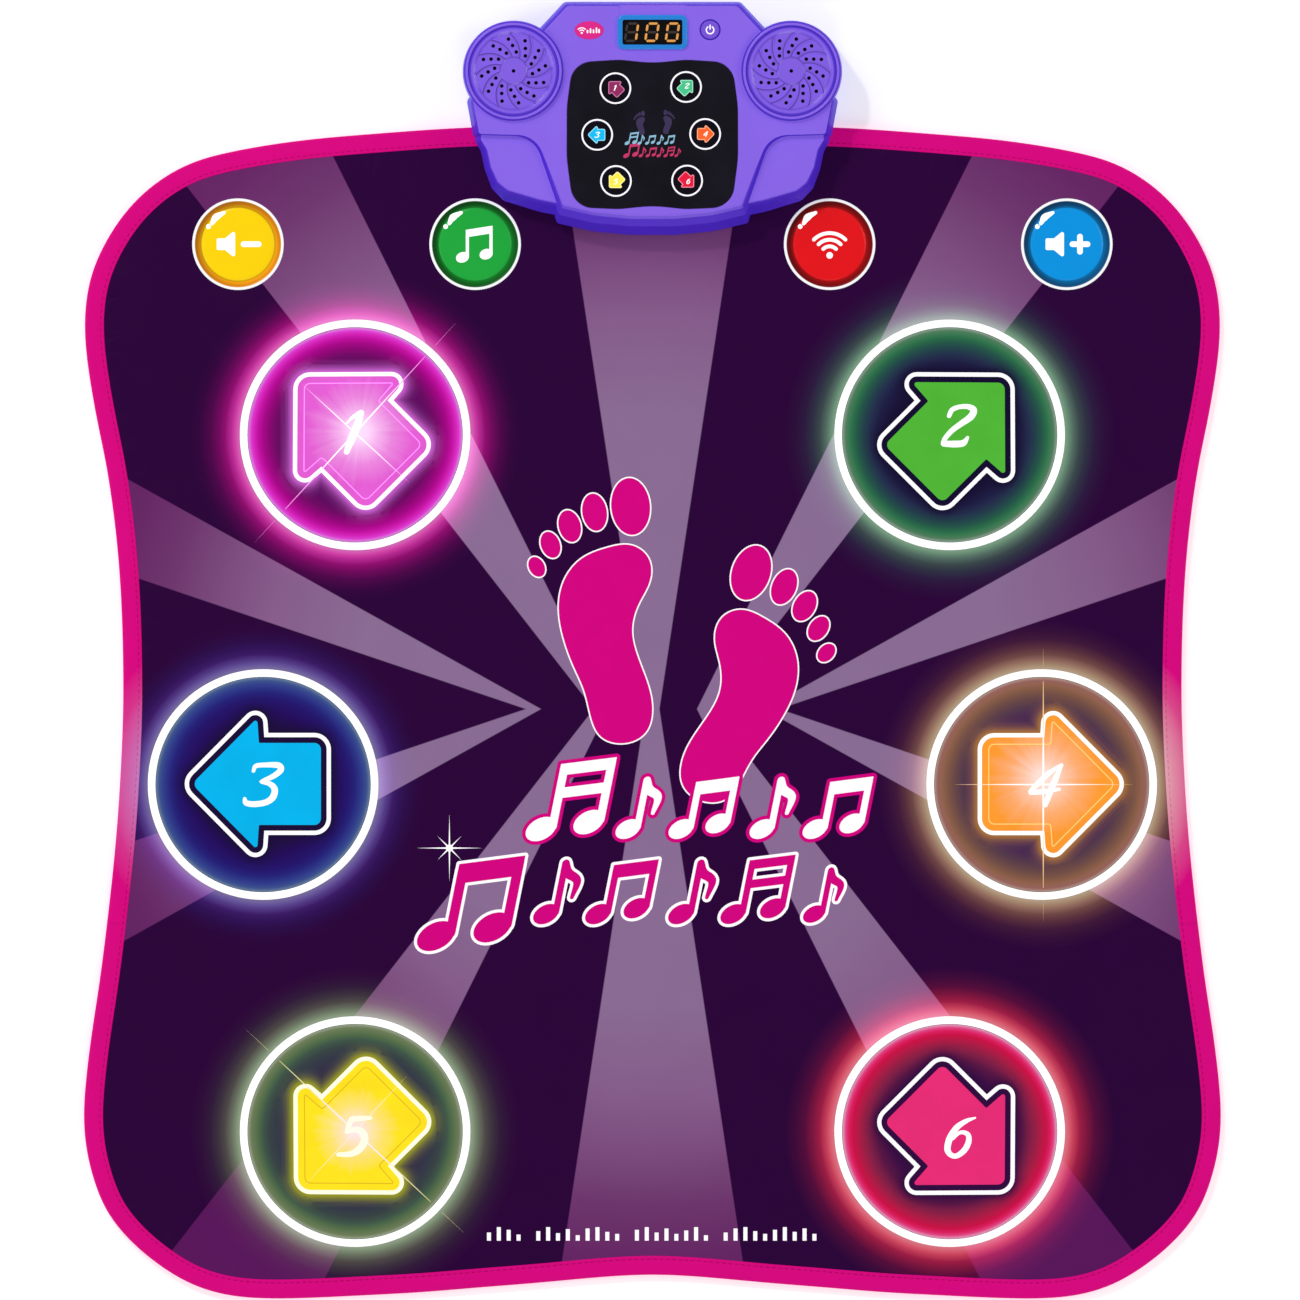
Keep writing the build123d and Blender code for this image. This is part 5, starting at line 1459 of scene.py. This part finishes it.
dress(shell_material("shell_violet", "#8e68f0", "#4f2cd0", glow=0.26), "console_top_shell")
# painted shade: a darker copy of the shell violet for the base's steep walls
dress(shell_material("shell_dark_violet", "#5632d4", "#431ec4", glow=0.20),
      "console_base_shell")
for side in ("left", "right"):
    dress(grille_material(side), "speaker_grille_" + side)
dress(shell_material("power_violet", "#7f58e4", "#4a27c8"), "power_button")
dress(plastic("bezel_blue", "#2486dc", rough=0.22, glow=0.25), "display_bezel")
dress(shell_material("door_violet", "#5a35d8", "#4721c6", glow=0.15), "battery_door")
dress(overlay_material(), "control_overlay")
dress(plastic("indicator_smoke", "#120f18", rough=0.24, spec=0.14), "indicator_lenses")
dress(lens_material(), "display_lens")
M_FOAM, M_FILM = foam_material(), film_material()
for panel in PANEL_BODY:
    dress(M_FOAM, "spacer_foam_" + panel)
    dress(M_FILM, "bottom_film_" + panel, "top_film_" + panel)
dress(board_material(), "main_circuit_board")
dress(plastic("guide_white", "#e6e6e8", rough=0.35, spec=0.4), "light_guide_frame")
dress(plastic("led_white", "#f4f2e6", rough=0.2, glow=0.3), "indicator_leds")
dress(cell_material(), "aa_batteries")
dress(metal("spring_steel", "#c8c8cc", rough=0.3), "battery_contacts")
dress(metal("screw_steel", "#9a9aa0", rough=0.32), "console_screws")
dress(metal("driver_steel", "#8c9096", rough=0.4),
      "speaker_driver_left", "speaker_driver_right")
dress(paper_material(), "speaker_cone_left", "speaker_cone_right")
dress(plastic("socket_black", "#1a1a1e", rough=0.4), "audio_jack")
dress(metal("port_steel", "#b4b6ba", rough=0.25), "usb_power_port")
dress(plastic("ribbon_white", "#dcdce0", rough=0.4, bump=0.2), "mat_ribbon_cable")
dress(plastic("clamp_plastic", "#2a2730", rough=0.5, bump=0.2), "mat_clamp_plate")
dress(rubber("foot_rubber", "#26242a"), "rubber_feet")
dress(rubber("wire_red", "#b01820"), "speaker_wires")
dress(plastic("switch_black", "#1c1c20", rough=0.45, bump=0.2), "power_switch")
dress(plastic("display_black", "#1c1512", rough=0.5, spec=0.1), "display_module")
dress(printed("badge_pink", "#e02a8a", glow=0.3, source="object"), "wireless_badge")

# ---------------------------------------------------------------- console display
DISPLAY_Y = 452.2
DIGIT_W, DIGIT_H = 9.6756, 14.3668
DIGIT_PITCH, DIGIT_SHIFT = 14.9532, -0.2932
SEG_HALF, SEG_GAP, SEG_SLANT = 0.84295, 0.54975, 0.14


def segment_loops(cx, cy, which):
    """Strokes of a slanted seven-segment digit."""
    x1, y1 = DIGIT_W / 2 - SEG_HALF, DIGIT_H / 2 - SEG_HALF
    gap = SEG_GAP
    ends = {"a": ((-x1 + gap, y1), (x1 - gap, y1)), "d": ((-x1 + gap, -y1), (x1 - gap, -y1)),
            "g": ((-x1 + gap, 0), (x1 - gap, 0)), "f": ((-x1, gap), (-x1, y1 - gap)),
            "b": ((x1, gap), (x1, y1 - gap)), "e": ((-x1, -y1 + gap), (-x1, -gap)),
            "c": ((x1, -y1 + gap), (x1, -gap))}
    out = []
    for key in which:
        start, end = np.array(ends[key], float)
        along = (end - start) / np.linalg.norm(end - start)
        side = np.array([-along[1], along[0]]) * SEG_HALF
        along = along * SEG_HALF
        loop = np.array([start, start + along + side, end - along + side, end,
                         end - along - side, start + along - side])
        out.append(ccw(np.stack([loop[:, 0] + SEG_SLANT * loop[:, 1] + cx,
                                 loop[:, 1] + cy], 1)))
    return out


lit_segments, dim_segments = [], []
for place, on in ((-1, "bc"), (0, "abcdef"), (1, "abcdef")):
    x = place * DIGIT_PITCH + DIGIT_SHIFT
    lit_segments += segment_loops(x, DISPLAY_Y, on)
    dim_segments += segment_loops(x, DISPLAY_Y, [key for key in "abcdefg" if key not in on])
M_AMBER = printed("digit_amber", "#ffb35c", glow=1.25, source="object")
M_GHOST = printed("digit_ghost", "#5c4c48", glow=0.6, source="object")
decal("display_digits_lit", lit_segments, 35.915, M_AMBER, "root", 0.05)
decal("display_digits_dim", dim_segments, 35.915, M_GHOST, "root", 0.04)

# ---------------------------------------------------------------- power and wireless marks
POWER_X, POWER_Y = 42.2, 454.0
decal("power_symbol",
      [arc_band(POWER_X, POWER_Y - 0.2, 2.75, 0.45, 125, 415, 40),
       capsule(POWER_X, POWER_Y + 0.5, POWER_X, POWER_Y + 3.3, 0.45)],
      36.71, M_DIGIT, "key_power", 0.06)
# painted shade: a dark violet ring in the gap round the power button
M_GAP_SHADE = printed("gap_shade_violet", "#4a2cc0", glow=0.2, source="object")
decal("power_button_gap_shade", [circle(POWER_X, POWER_Y, 7.75, 64)], 36.01, M_GAP_SHADE, "root", 0.05,
      cut=[circle(POWER_X, POWER_Y, 7.05, 64)])

BADGE_X, BADGE_Y = -46.3, 453.6
WAVE_X, WAVE_Y = BADGE_X - 5.4, BADGE_Y - 1.9
badge = [circle(WAVE_X, WAVE_Y, 0.75, 16)]
badge += [arc_band(WAVE_X, WAVE_Y, radius, 0.36, 45, 135, 14) for radius in (2.1, 3.7)]
for dx, top in ((-1.2, -0.2), (1.0, 0.9), (3.2, 0.1), (5.4, 1.5), (7.3, 0.4)):
    badge.append(capsule(BADGE_X + dx, BADGE_Y - 1.6, BADGE_X + dx, BADGE_Y + top, 0.55))
decal("wireless_badge_mark", badge, 36.48, M_DIGIT, "root", 0.05)

# ---------------------------------------------------------------- console overlay
INDICATORS = {  # pad: (x, y, arrow colour, arrow edge colour)
    1: (-27.1, 411.2, "#8a2a5a", "#c878a8"), 2: (24.6, 412.1, "#45b884", "#a8e8c8"),
    3: (-40.4, 377.1, "#12b4e6", "#9adcf4"), 4: (38.6, 377.7, "#f0602a", "#ffb08a"),
    5: (-26.7, 343.3, "#f4e04a", "#fff6a8"), 6: (25.4, 343.6, "#d8183c", "#f48aa0"),
}
MINI = 0.118      # size of the overlay's arrows, digits and feet against those on the mat
decal("indicator_rings", [circle(x, y, 11.55, 72) for x, y, *_ in INDICATORS.values()],
      Z_OVERLAY, M_WHITE, "root", 0.05,
      cut=[circle(x, y, 10.35, 72) for x, y, *_ in INDICATORS.values()])
for n, (x, y, fill, edge) in INDICATORS.items():
    centre = np.array([x, y])
    decal("indicator_arrow_edge_%d" % n, [arrow_loop(n, 6.9635) * MINI + centre], Z_OVERLAY,
          printed("indicator_edge_%d" % n, edge, glow=0.45, source="object"), "root", 0.03)
    decal("indicator_arrow_%d" % n, [arrow_loop(n, 1.8325) * MINI + centre], Z_OVERLAY + 0.035,
          printed("indicator_%d" % n, fill, glow=0.5, source="object"), "root", 0.03)
    decal("indicator_digit_%d" % n,
          [loop * MINI + centre for loop in digit_loops(n, size=1.1, weight=1.35, steps=4)],
          Z_OVERLAY + 0.07, M_DIGIT, "root", 0.02)

M_DIM = printed("overlay_dim_print", "#3a3152", glow=0.45, source="object")
M_ICE = printed("overlay_ice_print", "#86b4cc", glow=0.45, source="object")
M_ROSE = printed("overlay_rose_print", "#b83460", glow=0.5, source="object")
decal("overlay_footprints",
      foot(-8.3562, 383.83545, MINI, 4, False) + foot(10.7018, 384.56845, MINI, -6, True),
      Z_OVERLAY, M_DIM, "root", 0.03)


def mini_notes(row, row_x, x, y, spacing):
    """A mat row repeated small; row_x on the mat lands at x on the overlay."""
    return [loop for kind, note_x, _, size in row
            for loop in note_loops(kind, x + (note_x - row_x) * spacing, y, size * 0.158)]


decal("overlay_notes_upper", mini_notes(ROW_1, -82.3892, -18.6182, 371.00795, 0.142),
      Z_OVERLAY + 0.07, M_ICE, "root", 0.03)
decal("overlay_notes_lower", mini_notes(ROW_2, -160.0872, -19.3512, 361.84545, 0.132),
      Z_OVERLAY + 0.035, M_ROSE, "root", 0.03)


# ---------------------------------------------------------------- stage, light, camera (metres)
def stage_floor():
    """Paper from above, open from below, so that the underside can be seen."""
    sh = Shader("floor_paper", "object")
    tone = sh.mottle(sh.noise(scale=3, detail=3), (0.925, 0.925, 0.93), (0.935, 0.935, 0.94))
    sh.set(color=tone, rough=0.9, spec=0.0, emit=tone, power=0.5)
    both = sh.node("MixShader")
    sh.put(both.inputs[0], sh.node("NewGeometry").outputs["Backfacing"])
    sh.link(sh.bsdf.outputs[0], both.inputs[1])
    sh.link(sh.node("BsdfTransparent").outputs[0], both.inputs[2])
    sh.link(both.outputs[0], sh.out.inputs[0])
    half, z = 14.0, -0.0005
    mesh = bpy.data.meshes.new("floor")
    mesh.from_pydata([(-half, -half, z), (half, -half, z), (half, half, z), (-half, half, z)],
                     [], [(0, 1, 2, 3)])
    mesh.materials.append(sh.material)
    ob = bpy.data.objects.new("floor", mesh)
    scene.collection.objects.link(ob)


LIGHTS = [  # (name, place, target, diameter, watts)
    ("key", (-2.2, 2.6, 2.4), (0, 0, 0), 1.8, 22),
    ("fill_right", (3.0, 0.8, 2.2), (0, 0, 0), 2.0, 27),
    ("fill_front", (0.4, -3.2, 2.2), (0, 0, 0), 2.2, 28),
    ("fill_left", (-3.2, -0.6, 2.0), (0, 0, 0), 2.0, 22),
    ("glint", (-1.5, 2.5, 3.0), (0, 0.3, 0), 0.28, 32),
]


def add_lights():
    for name, place, target, size, power in LIGHTS:
        light = bpy.data.lights.new(name, "AREA")
        light.shape = "DISK"
        light.size = size
        light.energy = power
        ob = bpy.data.objects.new(name, light)
        scene.collection.objects.link(ob)
        ob.location = place
        ob.rotation_mode = "QUATERNION"
        ob.rotation_quaternion = (Vector(target) - Vector(place)).to_track_quat("-Z", "Y")
    world = bpy.data.worlds.new("studio")
    scene.world = world
    world.use_nodes = True
    background = world.node_tree.nodes["Background"]
    background.inputs["Color"].default_value = (1, 1, 1, 1)
    background.inputs["Strength"].default_value = 0.20


def add_camera():
    """Long lens looking straight down, far enough to see VIEW_WIDTH on the floor."""
    view_width = 0.9529
    camera = bpy.data.cameras.new("camera")
    ob = bpy.data.objects.new("camera", camera)
    scene.collection.objects.link(ob)
    camera.lens = 800
    camera.sensor_width = 36
    ob.location = (-0.0017592, 0.00010995, view_width * camera.lens / camera.sensor_width)
    ob.rotation_euler = (0, 0, 0)
    camera.clip_start, camera.clip_end = 0.5, 60
    scene.camera = ob


stage_floor()
add_lights()
add_camera()
scene.view_settings.view_transform = "Standard"
scene.view_settings.look = "None"

bpy.context.view_layer.update()
